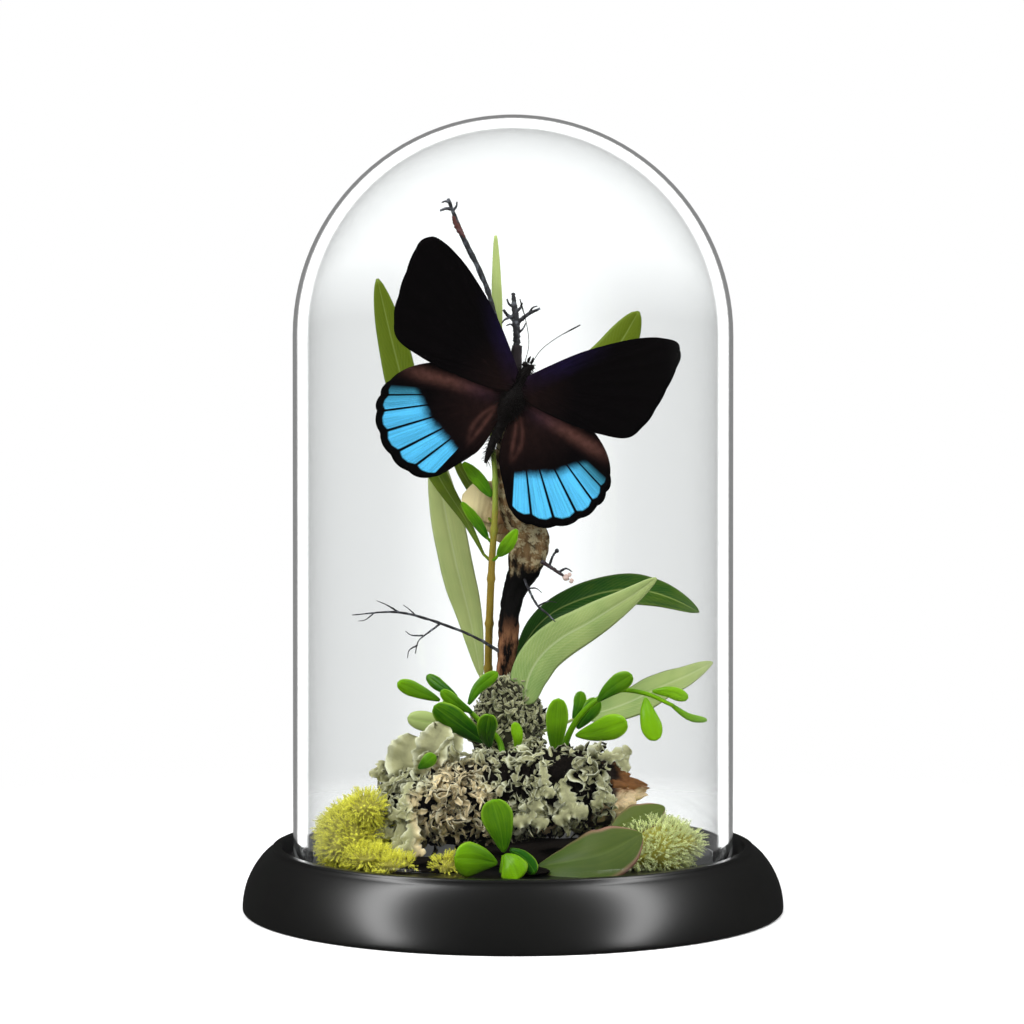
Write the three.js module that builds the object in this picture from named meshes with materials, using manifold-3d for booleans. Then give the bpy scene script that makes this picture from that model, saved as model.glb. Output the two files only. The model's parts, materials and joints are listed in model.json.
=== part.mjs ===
// Insect in a glass dome: a mounted butterfly above a small dry arrangement of wood, lichen, moss
// and moulded leaves, under a glass dome that stands in the groove of a turned, lacquered base.
//
// Millimetres, +Z up, the front faces -Y. The origin is the centre of the base's underside.
// Pieces are laid in order, and each one gives way to the pieces that were laid before it.

import * as THREE from 'three';
import { mergeVertices } from 'three/addons/utils/BufferGeometryUtils.js';
import Module from 'manifold-3d';

const wasm = await Module();
wasm.setup();

// ---------------------------------------------------------------- driving dimensions, mm

const GAP = 0.3; // clearance between pieces that touch

const FOOT_R = 70; // turned base
const RIM_R = 62.5;
const RIM_Z = 16.5;
const EDGE = 0.8; // small bevels on the base's edges
const GROOVE_OUTER_R = 60;
const GROOVE_INNER_R = 51.5;
const GROOVE_Z = 12;
const STAGE_Z = 15; // raised middle that carries the arrangement

const TOTAL_H = 205; // glass dome
const GLASS_R = 57;
const GLASS_WALL = 2.5;

const LOG_FROM = [-33, -15, 27];
const LOG_TO = [33.5, -14, 30.5];
const LOG_RADII = [9, 11.2, 11.5, 12, 12.3, 12, 7.5];
const LICHEN_LIFT = 2; // how far the lichen's middle line sits above the wood's
const LICHEN_GROWTH = 1.6; // how much thicker it is than the wood

const BUTTERFLY_AT = [0.7, 0, 133.6];
const BUTTERFLY_LEAN = THREE.MathUtils.degToRad(23.3); // head towards +X
const WING_T = 0.4;
const FOREWING_Y = -1.8; // wing roots, in front of the thorax's middle
const HINDWING_Y = -0.6;
const WING_BEND = 4; // how far the wing tips stand forward
const WING_SPAN = 37.5; // one side, from the body's middle to the tip

const LEAF_T = 0.8;
const LEAF_END = 0.35; // half width of a leaf's stalk and tip

// ---------------------------------------------------------------- colours

const finish = (color, roughness) => new THREE.MeshStandardMaterial({ color, roughness, metalness: 0 });

const LACQUER = finish('#1e1e1e', 0.35);
const GLASS = new THREE.MeshStandardMaterial({
  color: '#eef3f5',
  roughness: 0.02,
  metalness: 0,
  transparent: true,
  opacity: 0.2,
});
const BARK = finish('#4a2f22', 0.85);
const DARK_BARK = finish('#1f1715', 0.8);
const LICHEN = finish('#b5b99a', 0.95);
const MOSS = finish('#b7be2e', 0.95);
const PALE_MOSS = finish('#bfcb7a', 0.95);
const WING = finish('#120a0a', 0.7);
const BODY = finish('#0c0808', 0.8);
const STEM = finish('#8a8a2e', 0.6);
const DARK_LEAF = finish('#4f7a2a', 0.5);
const PALE_LEAF = finish('#a9bc7b', 0.6);
const BRIGHT_LEAF = finish('#5fae2c', 0.4);

// ---------------------------------------------------------------- solids

// Positions only, with shared corners merged and no collapsed triangles.
function welded(geometry) {
  const bare = new THREE.BufferGeometry();
  bare.setAttribute('position', geometry.getAttribute('position'));
  bare.setIndex(geometry.getIndex());
  const merged = mergeVertices(bare);
  const corners = merged.getIndex().array;
  const kept = [];
  for (let i = 0; i < corners.length; i += 3) {
    const [a, b, c] = corners.slice(i, i + 3);
    if (a !== b && b !== c && c !== a) kept.push(a, b, c);
  }
  merged.setIndex(kept);
  return merged;
}

function solidOf(geometry) {
  const mesh = {
    numProp: 3,
    vertProperties: Float32Array.from(geometry.getAttribute('position').array),
    triVerts: Uint32Array.from(geometry.getIndex().array),
  };
  return new wasm.Manifold(new wasm.Mesh(mesh));
}

function geometryOf(solid) {
  const { vertProperties, triVerts } = solid.getMesh();
  const geometry = new THREE.BufferGeometry();
  geometry.setAttribute('position', new THREE.BufferAttribute(vertProperties, 3));
  geometry.setIndex(new THREE.BufferAttribute(triVerts, 1));
  geometry.computeVertexNormals();
  return geometry;
}

// The outward direction at each corner, with each face weighed by its angle there, so that both
// sides of a thin edge count the same.
function cornerNormals(geometry) {
  const position = geometry.getAttribute('position');
  const index = geometry.getIndex().array;
  const normals = Array.from({ length: position.count }, () => new THREE.Vector3());
  for (let i = 0; i < index.length; i += 3) {
    const face = [0, 1, 2].map((k) => new THREE.Vector3().fromBufferAttribute(position, index[i + k]));
    const outward = new THREE.Triangle(...face).getNormal(new THREE.Vector3());
    for (let k = 0; k < 3; k += 1) {
      const toNext = face[(k + 1) % 3].clone().sub(face[k]);
      const toLast = face[(k + 2) % 3].clone().sub(face[k]);
      normals[index[i + k]].addScaledVector(outward, toNext.angleTo(toLast));
    }
  }
  return normals.map((normal) => normal.normalize());
}

// The solid that a piece and its clearance take up.
function spaceOf(geometry) {
  const grown = geometry.clone();
  const position = grown.getAttribute('position');
  const corner = new THREE.Vector3();
  cornerNormals(geometry).forEach((normal, i) => {
    corner.fromBufferAttribute(position, i).addScaledVector(normal, GAP);
    position.setXYZ(i, corner.x, corner.y, corner.z);
  });
  return solidOf(grown);
}

function largestOf(solid) {
  const parts = solid.decompose();
  return parts.reduce((best, part) => (part.volume() > best.volume() ? part : best));
}

// ---------------------------------------------------------------- scene graph

const object = new THREE.Group();
const butterfly = new THREE.Group();
butterfly.position.set(...BUTTERFLY_AT);
butterfly.rotation.y = BUTTERFLY_LEAN;
object.add(butterfly);

const taken = new Map([[object, []], [butterfly, []]]); // the space already filled, by group

// Adds a piece to a group, less the space of the pieces that are there already.
function lay(group, name, geometry, material) {
  const whole = welded(geometry);
  let solid = solidOf(whole);
  for (const space of taken.get(group)) {
    if (!solid.intersect(space).isEmpty()) solid = solid.subtract(space);
  }
  taken.get(group).push(spaceOf(whole));
  const mesh = new THREE.Mesh(geometryOf(largestOf(solid)), material);
  mesh.name = name;
  group.add(mesh);
}

// ---------------------------------------------------------------- shapes

const FRONT = [0, -1, 0];

// A closed solid along a smooth line. section(x, z, t) takes a point of the unit circle and the
// place on the line, from 0 to 1, and returns the point's offsets to the side and to the facing.
function sweep(points, sides, steps, section, facing = FRONT) {
  const line = new THREE.CatmullRomCurve3(points.map((point) => new THREE.Vector3(...point)));
  const geometry = new THREE.CylinderGeometry(1, 1, 1, sides, steps);
  const position = geometry.getAttribute('position');
  const front = new THREE.Vector3(...facing).normalize();
  for (let i = 0; i < position.count; i += 1) {
    const t = position.getY(i) + 0.5;
    const along = line.getTangentAt(t);
    const side = along.clone().cross(front).normalize();
    const out = side.clone().cross(along);
    const [u, v] = section(position.getX(i), position.getZ(i), t);
    const at = line.getPointAt(t).addScaledVector(side, u).addScaledVector(out, v);
    position.setXYZ(i, at.x, at.y, at.z);
  }
  return geometry;
}

// The value at t in a list that is spread evenly from 0 to 1.
function spread(values, t) {
  const place = t * (values.length - 1);
  const index = THREE.MathUtils.clamp(Math.floor(place), 0, values.length - 2);
  return THREE.MathUtils.lerp(values[index], values[index + 1], place - index);
}

function limb(points, radii, { sides = 6, steps = 8, facing = FRONT } = {}) {
  const section = (x, z, t) => [x * spread(radii, t), z * spread(radii, t)];
  return sweep(points, sides, steps, section, facing);
}

// A leaf, thickest along its middle, and widest nearer the tip where belly is over 1.
function leaf(points, width, { facing = FRONT, belly = 1, steps = 7 } = {}) {
  const section = (x, z, t) => {
    const swell = Math.max(0, Math.sin(Math.PI * t ** belly)) ** 0.7;
    const half = LEAF_END + (width / 2 - LEAF_END) * swell;
    return [x * half, (z * LEAF_T) / 2];
  };
  return sweep(points, 4, steps, section, facing);
}

// A lumpy tuft that sits on the raised middle of the base.
function tuft(centre, half, lumpiness = 0.1) {
  const geometry = new THREE.IcosahedronGeometry(1, 3);
  const position = geometry.getAttribute('position');
  const corner = new THREE.Vector3();
  for (let i = 0; i < position.count; i += 1) {
    corner.fromBufferAttribute(position, i);
    const lump = Math.sin(5 * corner.x + 1) * Math.sin(6 * corner.y) + Math.cos(7 * corner.z);
    corner.multiplyScalar(1 + (lumpiness * lump) / 2);
    corner.multiply(new THREE.Vector3(...half)).add(new THREE.Vector3(...centre));
    position.setXYZ(i, corner.x, corner.y, Math.max(corner.z, STAGE_Z + GAP));
  }
  return geometry;
}

// Turned about the Z axis: the profile is [radius, height] pairs, anticlockwise round the material.
function turned(profile, segments) {
  const outline = profile.map(([radius, height]) => new THREE.Vector2(radius, height));
  return new THREE.LatheGeometry(outline, segments).rotateX(Math.PI / 2);
}

// ---------------------------------------------------------------- base and glass

function baseProfile() {
  const side = [];
  const steps = 7;
  for (let step = 0; step < steps; step += 1) {
    const rise = step / steps;
    const radius = RIM_R + (FOOT_R - RIM_R) * (1 - rise ** 2) ** 0.8;
    side.push([radius, EDGE + rise * (RIM_Z - 2 * EDGE)]);
  }
  return [
    [0, 0],
    [FOOT_R - EDGE, 0],
    ...side,
    [RIM_R, RIM_Z - EDGE],
    [RIM_R - EDGE, RIM_Z],
    [GROOVE_OUTER_R, RIM_Z],
    [GROOVE_OUTER_R, GROOVE_Z],
    [GROOVE_INNER_R, GROOVE_Z],
    [GROOVE_INNER_R, STAGE_Z - EDGE],
    [GROOVE_INNER_R - EDGE, STAGE_Z],
    [0, STAGE_Z],
  ];
}

function domeArc(radius) {
  const arc = [];
  const steps = 7;
  for (let step = 0; step < steps; step += 1) {
    const angle = (Math.PI / 2) * (step / steps);
    arc.push([radius * Math.cos(angle), TOTAL_H - GLASS_R + radius * Math.sin(angle)]);
  }
  return [...arc, [0, TOTAL_H - GLASS_R + radius]];
}

function glassProfile() {
  const inner = GLASS_R - GLASS_WALL;
  const foot = GROOVE_Z + GAP;
  return [...domeArc(inner).reverse(), [inner, foot], [GLASS_R, foot], ...domeArc(GLASS_R)];
}

lay(object, 'base', turned(baseProfile(), 48), LACQUER);
lay(object, 'glass_dome', turned(glassProfile(), 40), GLASS);

// ---------------------------------------------------------------- wood

const BRANCH = [
  [-1.5, 9, 15.6], [-1.5, 9, 36], [-2, 8.5, 57], [-1, 8, 73.5], [0.3, 8, 82], [5, 7, 94.5],
  [0, 6.5, 104.5], [-1.6, 6, 114], [-1.3, 5.5, 126.6], [0.5, 5.5, 137], [1, 6, 146],
];
const BRANCH_RADII = [5, 4.5, 3, 2.5, 2.9, 5, 4.2, 2.6, 2.1, 1.6, 1.3];
const LOG_SHAPE = { sides: 12, steps: 6, facing: [0, 0, 1] };
lay(object, 'log', limb([LOG_FROM, LOG_TO], LOG_RADII, LOG_SHAPE), BARK);
lay(object, 'branch', limb(BRANCH, BRANCH_RADII, { sides: 7, steps: 18 }), DARK_BARK);

const TWIGS = {
  branch_crown: {
    points: [[1, 6.3, 146.5], [0.8, 7, 152], [0, 8, 160]],
    radii: [0.9, 1.4, 0.4],
  },
  branch_top_twig: {
    points: [[-1.2, 6.5, 137], [-4, 8, 151], [-7.3, 9, 162.5], [-13.5, 9, 175.5], [-17.5, 8, 185]],
    radii: [0.9, 0.9, 1, 1, 0.4],
  },
  branch_left_twig: {
    points: [[-3, 8, 65], [-8.5, 4, 69], [-15, 3, 72], [-29.5, -1, 76.5], [-41.5, -4, 76]],
    radii: [0.6, 0.5, 0.5, 0.4, 0.3],
  },
  branch_knot_twig: {
    points: [[7, 4.5, 89.5], [9.5, 3, 88.3], [11.5, 2, 87], [14.5, 1, 85]],
    radii: [0.8, 0.6, 0.6, 0.9],
  },
  branch_low_twig: {
    points: [[3, 5, 86], [4, 3.5, 82.5], [6.5, 2, 78], [9, 1, 76], [11, 0, 74]],
    radii: [0.5, 0.45, 0.45, 0.4, 0.3],
  },
};
for (const [name, { points, radii }] of Object.entries(TWIGS)) {
  lay(object, name, limb(points, radii, { sides: 5, steps: 7 }), DARK_BARK);
}

// ---------------------------------------------------------------- butterfly, in its own frame

// Right wing outlines from the body's middle line; the left ones mirror them.
const FOREWING = [
  [1.2, 5], [6, 11.3], [12, 17.4], [19, 22.7], [26, 26.6], [31.8, 28], [35.4, 26.6], [37.2, 21],
  [36.8, 13], [35.8, 6], [32.5, 0.5], [25, -1.5], [15, -2.1], [6, -1.7], [1.2, -0.5],
];
const HINDWING = [
  [1.2, 1.2], [8, 2], [16, 1.2], [23, -1.7], [28.6, -6.2], [31.6, -11.5], [31.4, -18], [27.5, -24.5],
  [22, -28.6], [16, -30.1], [11, -28.8], [6.5, -23.2], [3, -18], [1.6, -12], [1.2, -5],
];
const OUTLINE_POINTS = 30;

// A thin sheet in the outline's shape, bent forward towards the tip.
function wing(outline, side, depth) {
  const corners = outline.map(([x, z]) => new THREE.Vector3(side * x, z, 0));
  const edge = new THREE.CatmullRomCurve3(side > 0 ? corners.reverse() : corners, true);
  const shape = new THREE.Shape(edge.getSpacedPoints(OUTLINE_POINTS).slice(0, -1));
  const geometry = new THREE.ExtrudeGeometry(shape, { depth: WING_T, bevelEnabled: false });
  geometry.rotateX(Math.PI / 2);
  const position = geometry.getAttribute('position');
  for (let i = 0; i < position.count; i += 1) {
    const reach = position.getX(i) / WING_SPAN;
    position.setY(i, position.getY(i) + depth - WING_BEND * reach * reach);
  }
  return geometry;
}

const BODY_LINE = [[0, 0.3, -20], [-0.3, 0.2, -14], [0, 0, -7], [0.3, 0, 0], [0.3, 0, 5], [0.3, -0.2, 8]];
const BODY_RADII = [0.5, 1.5, 1.7, 1.5, 1.5, 2.3, 2.5, 2.3, 1.3, 1.4, 0.5];
lay(butterfly, 'butterfly_body', limb(BODY_LINE, BODY_RADII, { sides: 10, steps: 14 }), BODY);

for (const [suffix, side] of [['left', -1], ['right', 1]]) {
  const antenna = [[side * 0.8, -0.4, 7.9], [side * 1.7, -1, 12.5], [side * 4.2, -1.5, 17], [side * 8.5, -2, 22.5]];
  lay(butterfly, `forewing_${suffix}`, wing(FOREWING, side, FOREWING_Y), WING);
  lay(butterfly, `hindwing_${suffix}`, wing(HINDWING, side, HINDWING_Y), WING);
  lay(butterfly, `antenna_${suffix}`, limb(antenna, [0.2, 0.2, 0.25, 0.4], { sides: 5, steps: 6 }), BODY);
}

// ---------------------------------------------------------------- leaves

// Every leaf has its middle line, from stalk to tip, and its greatest width.
const RIGHT_UP = [0.2, -0.75, 0.65];

const TALL_STEM = [
  [-7, 17, 15.6], [-6.8, 17, 45], [-6.5, 13, 66], [-6, 8, 79.5], [-5.5, 4.5, 90], [-4.7, 2, 103],
  [-4.7, 2, 112], [-5.4, 3.6, 121], [-5.3, 7, 129],
];
const LEAVES = {
  tall_leaf_left: {
    points: [[-7.5, 5, 91], [-12.5, 7, 100.5], [-19.5, 10, 111.5], [-26, 12, 125.5],
      [-31.5, 12, 145], [-36, 10, 164]],
    width: 9,
    belly: 0.85,
    colour: DARK_LEAF,
  },
  tall_leaf_pale: {
    points: [[-8.5, 18.5, 58], [-11.5, 20, 73.5], [-15.5, 19, 89.5], [-19, 18, 107], [-21.5, 17, 121.5]],
    width: 11.5,
    colour: PALE_LEAF,
  },
  tall_leaf_top: {
    points: [[-5.3, 8, 131], [-4.5, 11, 142.5], [-4.3, 12, 158.5], [-4.6, 11, 175.5]],
    width: 3,
    colour: BRIGHT_LEAF,
  },
  tall_leaf_back: {
    points: [[-3.6, 9, 115], [4.5, 13, 124], [16.5, 14, 137.5], [26, 13, 147], [32.5, 11, 156]],
    width: 9.5,
    belly: 2,
    colour: DARK_LEAF,
  },
  tall_leaf_small_1: {
    points: [[-6.3, 3.5, 100.5], [-9, 5, 106], [-13, 7, 112], [-16.5, 8, 118.5]],
    width: 4.5,
    colour: BRIGHT_LEAF,
  },
  tall_leaf_small_2: {
    points: [[-6.8, 3.5, 94.5], [-9.5, 3, 100], [-13.5, 2, 105]],
    width: 4,
    colour: PALE_LEAF,
  },
  tall_leaf_small_3: {
    points: [[-4, 2.2, 91], [-1.5, -0.2, 94], [1, -1, 98]],
    width: 3.6,
    colour: BRIGHT_LEAF,
  },
  tall_leaf_small_4: {
    points: [[-5.9, 1.6, 109], [-7, 2.6, 114], [-9, 4.5, 119.5]],
    width: 3.4,
    colour: BRIGHT_LEAF,
  },
  arching_leaf_dark: {
    points: [[3, 13, 66], [6, 14, 71.5], [10.5, 14.5, 75.5], [16.5, 14, 78.5], [24, 12, 81],
      [31.5, 9, 82], [38, 6, 81], [43.5, 3, 79], [48.5, 0, 76.5]],
    width: 11.5,
    belly: 1.4,
    facing: RIGHT_UP,
    colour: DARK_LEAF,
  },
  arching_leaf_pale: {
    points: [[2.8, 2.6, 52], [4, 3.2, 59], [7, 3.5, 64.5], [12.5, 3, 69.5], [19.5, 2, 73.5],
      [26.5, 0, 78], [32.5, -2, 82], [37, -4, 85.5]],
    width: 9.5,
    belly: 0.8,
    colour: PALE_LEAF,
  },
  low_leaf_pale: {
    points: [[17, 9, 48.5], [24, 8, 50], [30.5, 6, 52.5], [38, 2, 56.5], [45.5, -4, 60.5], [51, -8.5, 64]],
    width: 10.5,
    facing: RIGHT_UP,
    colour: PALE_LEAF,
  },
  broad_leaf_front: {
    points: [[5.5, -38, 16.5], [13, -41, 18.5], [21.5, -41.5, 20.5], [31, -38, 24.5]],
    width: 13,
    belly: 1.3,
    facing: RIGHT_UP,
    colour: DARK_LEAF,
  },
  broad_leaf_back: {
    points: [[24, -28, 23], [30, -27, 26], [37.5, -24, 29]],
    width: 8,
    facing: RIGHT_UP,
    colour: DARK_LEAF,
  },
};

// The sprigs' leaves are broadest near the tip.
const SPRIG_BELLY = 1.5;
const SPRIGS = {
  sprig_left: {
    stem: [[-3.5, -1, 43], [-8.5, -4, 48.5], [-13, -5, 52.5], [-18, -6.5, 53.8]],
    leaves: [
      { points: [[-18.8, -6.8, 54.2], [-24, -8, 56.5], [-29.5, -10, 59]], width: 3.8 },
      { points: [[-14.5, -3.5, 54.8], [-19, -1, 57.5], [-22.5, 1, 60]], width: 3 },
      { points: [[-10.5, -5.8, 51], [-14.5, -7.5, 53.5], [-18.5, -8, 56.8]], width: 3 },
      { points: [[-14, -3.5, 49], [-20, -1.5, 48], [-27.5, 0, 49]], width: 5 },
      { points: [[-7, -5, 43], [-13, -11, 48], [-20, -15, 53.5]], width: 6.2 },
      { points: [[-6, -7, 42], [-6.7, -12, 46.5], [-6, -16, 51.5]], width: 5 },
      { points: [[-11.5, -2.8, 52.8], [-9, -2, 57], [-4, -1, 61]], width: 3.2 },
    ],
  },
  sprig_right: {
    stem: [[12, -6, 38], [15, -8, 47], [19.5, -10, 53], [26, -11, 57], [33.5, -13, 56.5], [40.5, -15, 53.5]],
    leaves: [
      { points: [[11, -9.5, 39.5], [11, -13, 47], [11.5, -16, 55.5]], width: 5.4 },
      { points: [[15.5, -7, 49.5], [17, -6.5, 53], [17.5, -6, 56.5]], width: 3 },
      { points: [[21.5, -12.2, 54.5], [24.5, -13.5, 57.5], [30, -15.5, 61.5]], width: 4.6 },
      { points: [[16, -10.5, 45.5], [21.5, -15, 47], [28.5, -20, 50]], width: 6.2 },
      { points: [[16.5, -7.5, 47], [19, -7, 50.5], [22, -6, 54.5]], width: 4.5 },
      { points: [[33.5, -14.2, 55.5], [34, -17, 51.5], [35.8, -18.5, 45]], width: 5 },
      { points: [[35.3, -13.6, 57.1], [39.5, -15, 57], [44, -16, 55.5]], width: 3 },
      { points: [[41.3, -15, 52.6], [45, -14.2, 50.8], [49, -13, 50]], width: 2 },
    ],
  },
  sprig_front: {
    stem: [[-2.5, -42.5, 15.6], [-2.4, -42.3, 17], [-2.2, -41.8, 19.5]],
    leaves: [
      { points: [[-2.2, -42.2, 20.3], [-3, -43.5, 26], [-5, -45, 33.5]], width: 7.4 },
      { points: [[-3.8, -43.2, 17.8], [-8.5, -45.3, 19], [-14, -46.8, 19.5]], width: 8 },
      { points: [[-2.2, -43.8, 17.8], [-1, -46.3, 18.6], [0.5, -49, 17.3]], width: 6.6 },
      { points: [[-1, -41.6, 19.8], [2, -42.3, 19.3], [5.5, -44, 16]], width: 4.4 },
    ],
  },
};

lay(object, 'tall_stem', limb(TALL_STEM, [1.1, 1.1, 1, 1, 0.9, 0.7, 0.6], { steps: 14 }), STEM);
for (const [name, { points, width, colour, ...shape }] of Object.entries(LEAVES)) {
  lay(object, name, leaf(points, width, shape), colour);
}
for (const [sprig, { stem, leaves }] of Object.entries(SPRIGS)) {
  lay(object, `${sprig}_stem`, limb(stem, [0.9, 0.7, 0.5], { sides: 5, steps: 5 }), BRIGHT_LEAF);
  leaves.forEach(({ points, width }, i) => {
    const shape = leaf(points, width, { belly: SPRIG_BELLY, steps: 5 });
    lay(object, `${sprig}_leaf_${i + 1}`, shape, BRIGHT_LEAF);
  });
}

// ---------------------------------------------------------------- lichen and moss

// A crust on the log's top and front, between two places on its length.
function logCrust(from, to) {
  const start = new THREE.Vector3(...LOG_FROM);
  const run = new THREE.Vector3(...LOG_TO).sub(start);
  const points = [from, (from + to) / 2, to].map((t) => {
    const at = start.clone().addScaledVector(run, t);
    return [at.x, at.y - 1, at.z + LICHEN_LIFT];
  });
  const thickness = (t) => spread(LOG_RADII, THREE.MathUtils.lerp(from, to, t)) + LICHEN_GROWTH;
  const rough = (x, z, t) => 1 + 0.05 * Math.sin(9 * x + 20 * t) + 0.04 * Math.sin(7 * z - 14 * t);
  const section = (x, z, t) => [x * thickness(t) * rough(x, z, t), z * thickness(t) * rough(x, z, t)];
  return sweep(points, 14, 5, section, [0, 0, 1]);
}

const FOOT_CRUST = [[-1.3, 9, 38], [-1.3, 8.5, 48], [-1.4, 8, 59]];
const CUP = [[-27, -12, 36], [-24, -14.5, 41], [-19, -17, 47]];
lay(object, 'lichen_left', logCrust(-0.05, 0.3), LICHEN);
lay(object, 'lichen_middle', logCrust(0.31, 0.58), LICHEN);
lay(object, 'lichen_right', logCrust(0.59, 0.84), LICHEN);
lay(object, 'lichen_foot', limb(FOOT_CRUST, [9.5, 10, 9, 5.5], { sides: 12, steps: 6 }), LICHEN);
lay(object, 'lichen_cup', limb(CUP, [4.5, 5, 3.8], { sides: 9, steps: 5 }), LICHEN);
lay(object, 'moss_left', tuft([-39.7, -20, 22], [8.8, 12.5, 10.5]), MOSS);
lay(object, 'moss_right', tuft([34, -22, 19.5], [11.5, 12.5, 9]), PALE_MOSS);

export default object;
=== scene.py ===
"""Insect in a glass dome: a mounted butterfly above wood, lichen, moss and moulded leaves.

Lengths in the tables are millimetres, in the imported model's frame: +Z up, the front faces -Y and
the origin is the centre of the base's underside.
"""

import json
import math
from collections import namedtuple

import bpy
import numpy as np
from bpy.props import FloatProperty, FloatVectorProperty, IntProperty, PointerProperty
from mathutils import Matrix, Quaternion, Vector, noise

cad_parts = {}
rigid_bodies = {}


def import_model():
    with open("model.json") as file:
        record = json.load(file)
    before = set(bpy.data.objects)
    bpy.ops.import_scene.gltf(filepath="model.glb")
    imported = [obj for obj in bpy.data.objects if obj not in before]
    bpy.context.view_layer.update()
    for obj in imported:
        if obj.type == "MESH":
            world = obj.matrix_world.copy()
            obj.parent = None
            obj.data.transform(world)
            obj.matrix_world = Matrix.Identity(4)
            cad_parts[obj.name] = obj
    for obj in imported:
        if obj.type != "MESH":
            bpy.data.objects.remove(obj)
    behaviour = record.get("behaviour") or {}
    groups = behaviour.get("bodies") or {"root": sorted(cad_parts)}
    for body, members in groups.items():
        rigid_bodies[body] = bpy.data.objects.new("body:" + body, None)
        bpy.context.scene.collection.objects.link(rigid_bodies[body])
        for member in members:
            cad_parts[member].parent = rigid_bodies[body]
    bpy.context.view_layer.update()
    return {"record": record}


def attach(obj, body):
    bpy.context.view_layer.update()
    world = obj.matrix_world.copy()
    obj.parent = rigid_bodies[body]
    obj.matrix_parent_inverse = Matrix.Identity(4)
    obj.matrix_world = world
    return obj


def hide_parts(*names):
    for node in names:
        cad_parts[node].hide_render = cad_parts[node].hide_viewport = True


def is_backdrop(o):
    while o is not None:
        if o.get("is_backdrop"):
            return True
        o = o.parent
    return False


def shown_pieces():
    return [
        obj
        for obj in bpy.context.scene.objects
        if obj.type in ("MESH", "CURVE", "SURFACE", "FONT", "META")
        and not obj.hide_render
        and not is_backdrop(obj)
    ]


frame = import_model()
SLOTS = {part["node"]: part["material_slot"] for part in frame["record"]["subparts"]}

bl_info = {
    "name": "Insect in Glass Dome",
    "version": (1, 0, 0),
    "blender": (4, 5, 0),
    "location": "View3D > Sidebar > Insect Dome",
    "description": "Builds a mounted butterfly on a dry arrangement under a glass dome",
    "category": "Add Mesh",
}

MM = 0.001
LYING = 15.1  # lowest height in mm of what lies on the base's raised middle
FRONT = (0.0, -1.0, 0.0)
UP = (0.0, 0.0, 1.0)
RIGHT_UP = (0.2, -0.75, 0.65)  # leaves that lie over show their upper face this way

# ---------------- the wood's lines

LOG_FROM = (-33, -15, 27)
LOG_TO = (32, -14, 31.8)
CRUST_RADII = (7.2, 8.8, 9.8, 10.4, 9.8, 7.8, 5.2)
# the wood breaks off in a wedge at its right end
BARK_RADII = (6.8, 8, 8.8, 9.4, 9.8, 10, 10, 9.8, 9.4, 9, 8.6, 8.4, 7.4, 1.4)
BROKEN_END = (28.2, -14.5, 31.8)
SPLINTERS = 14
BRANCH = (
    (-1.5, 9, 15.6), (-1.5, 9, 36), (-2, 8.5, 57), (-1, 8, 73.5), (0.3, 8, 82), (5, 7, 94.5),
    (0, 6.5, 104.5), (-1.6, 6, 114), (-1.3, 5.5, 126.6), (0.5, 5.5, 137), (1, 6, 146),
)
BRANCH_RADII = (5, 4.6, 4, 3.3, 2.7, 2.5, 2.5, 2.9, 5, 4.7, 4.1, 2.8, 2.1, 1.6, 1.3)
TWIGS = {
    "branch_crown": (((1, 6.3, 146), (0.8, 7, 152), (0, 8, 160)), (0.9, 1.0, 0.45)),
    "branch_top_twig": (
        ((-1.2, 6.5, 137), (-4, 8, 151), (-7.3, 9, 162.5), (-13.5, 9, 175.5), (-17.2, 8, 185)),
        (0.8, 0.6, 0.56, 0.66, 0.72, 0.66, 0.4),
    ),
    "branch_left_twig": (
        ((-2.5, 8, 65), (-8.5, 4, 69), (-15, 3, 72), (-29.5, -1, 76.5), (-41.5, -4, 76)),
        (0.5, 0.35, 0.35, 0.3, 0.12),
    ),
    "branch_knot_twig": (
        ((6, 5, 90.5), (9.5, 3, 88.3), (11.5, 2, 87), (14.5, 1, 85)),
        (0.7, 0.5, 0.45, 0.3),
    ),
    "branch_low_twig": (
        ((2, 6, 87.5), (4, 3.5, 82.5), (6.5, 2, 78), (9, 1, 76), (11, 0, 74)),
        (0.45, 0.35, 0.3, 0.3, 0.12),
    ),
}
# The cream bracket left of the branch: a line and the greatest width of each lobe
SHELF_LOBES = (
    (((-0.5, 6.5, 103), (-6, 5, 105), (-13.4, 4.4, 106.2)), 10.5),
    (((-0.5, 6.7, 99.5), (-4, 5.9, 101), (-8.8, 5.6, 102.4)), 8.5),
    (((-0.5, 7, 96.5), (-3, 6.6, 97.5), (-6.2, 6.4, 98.8)), 6),
)
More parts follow.
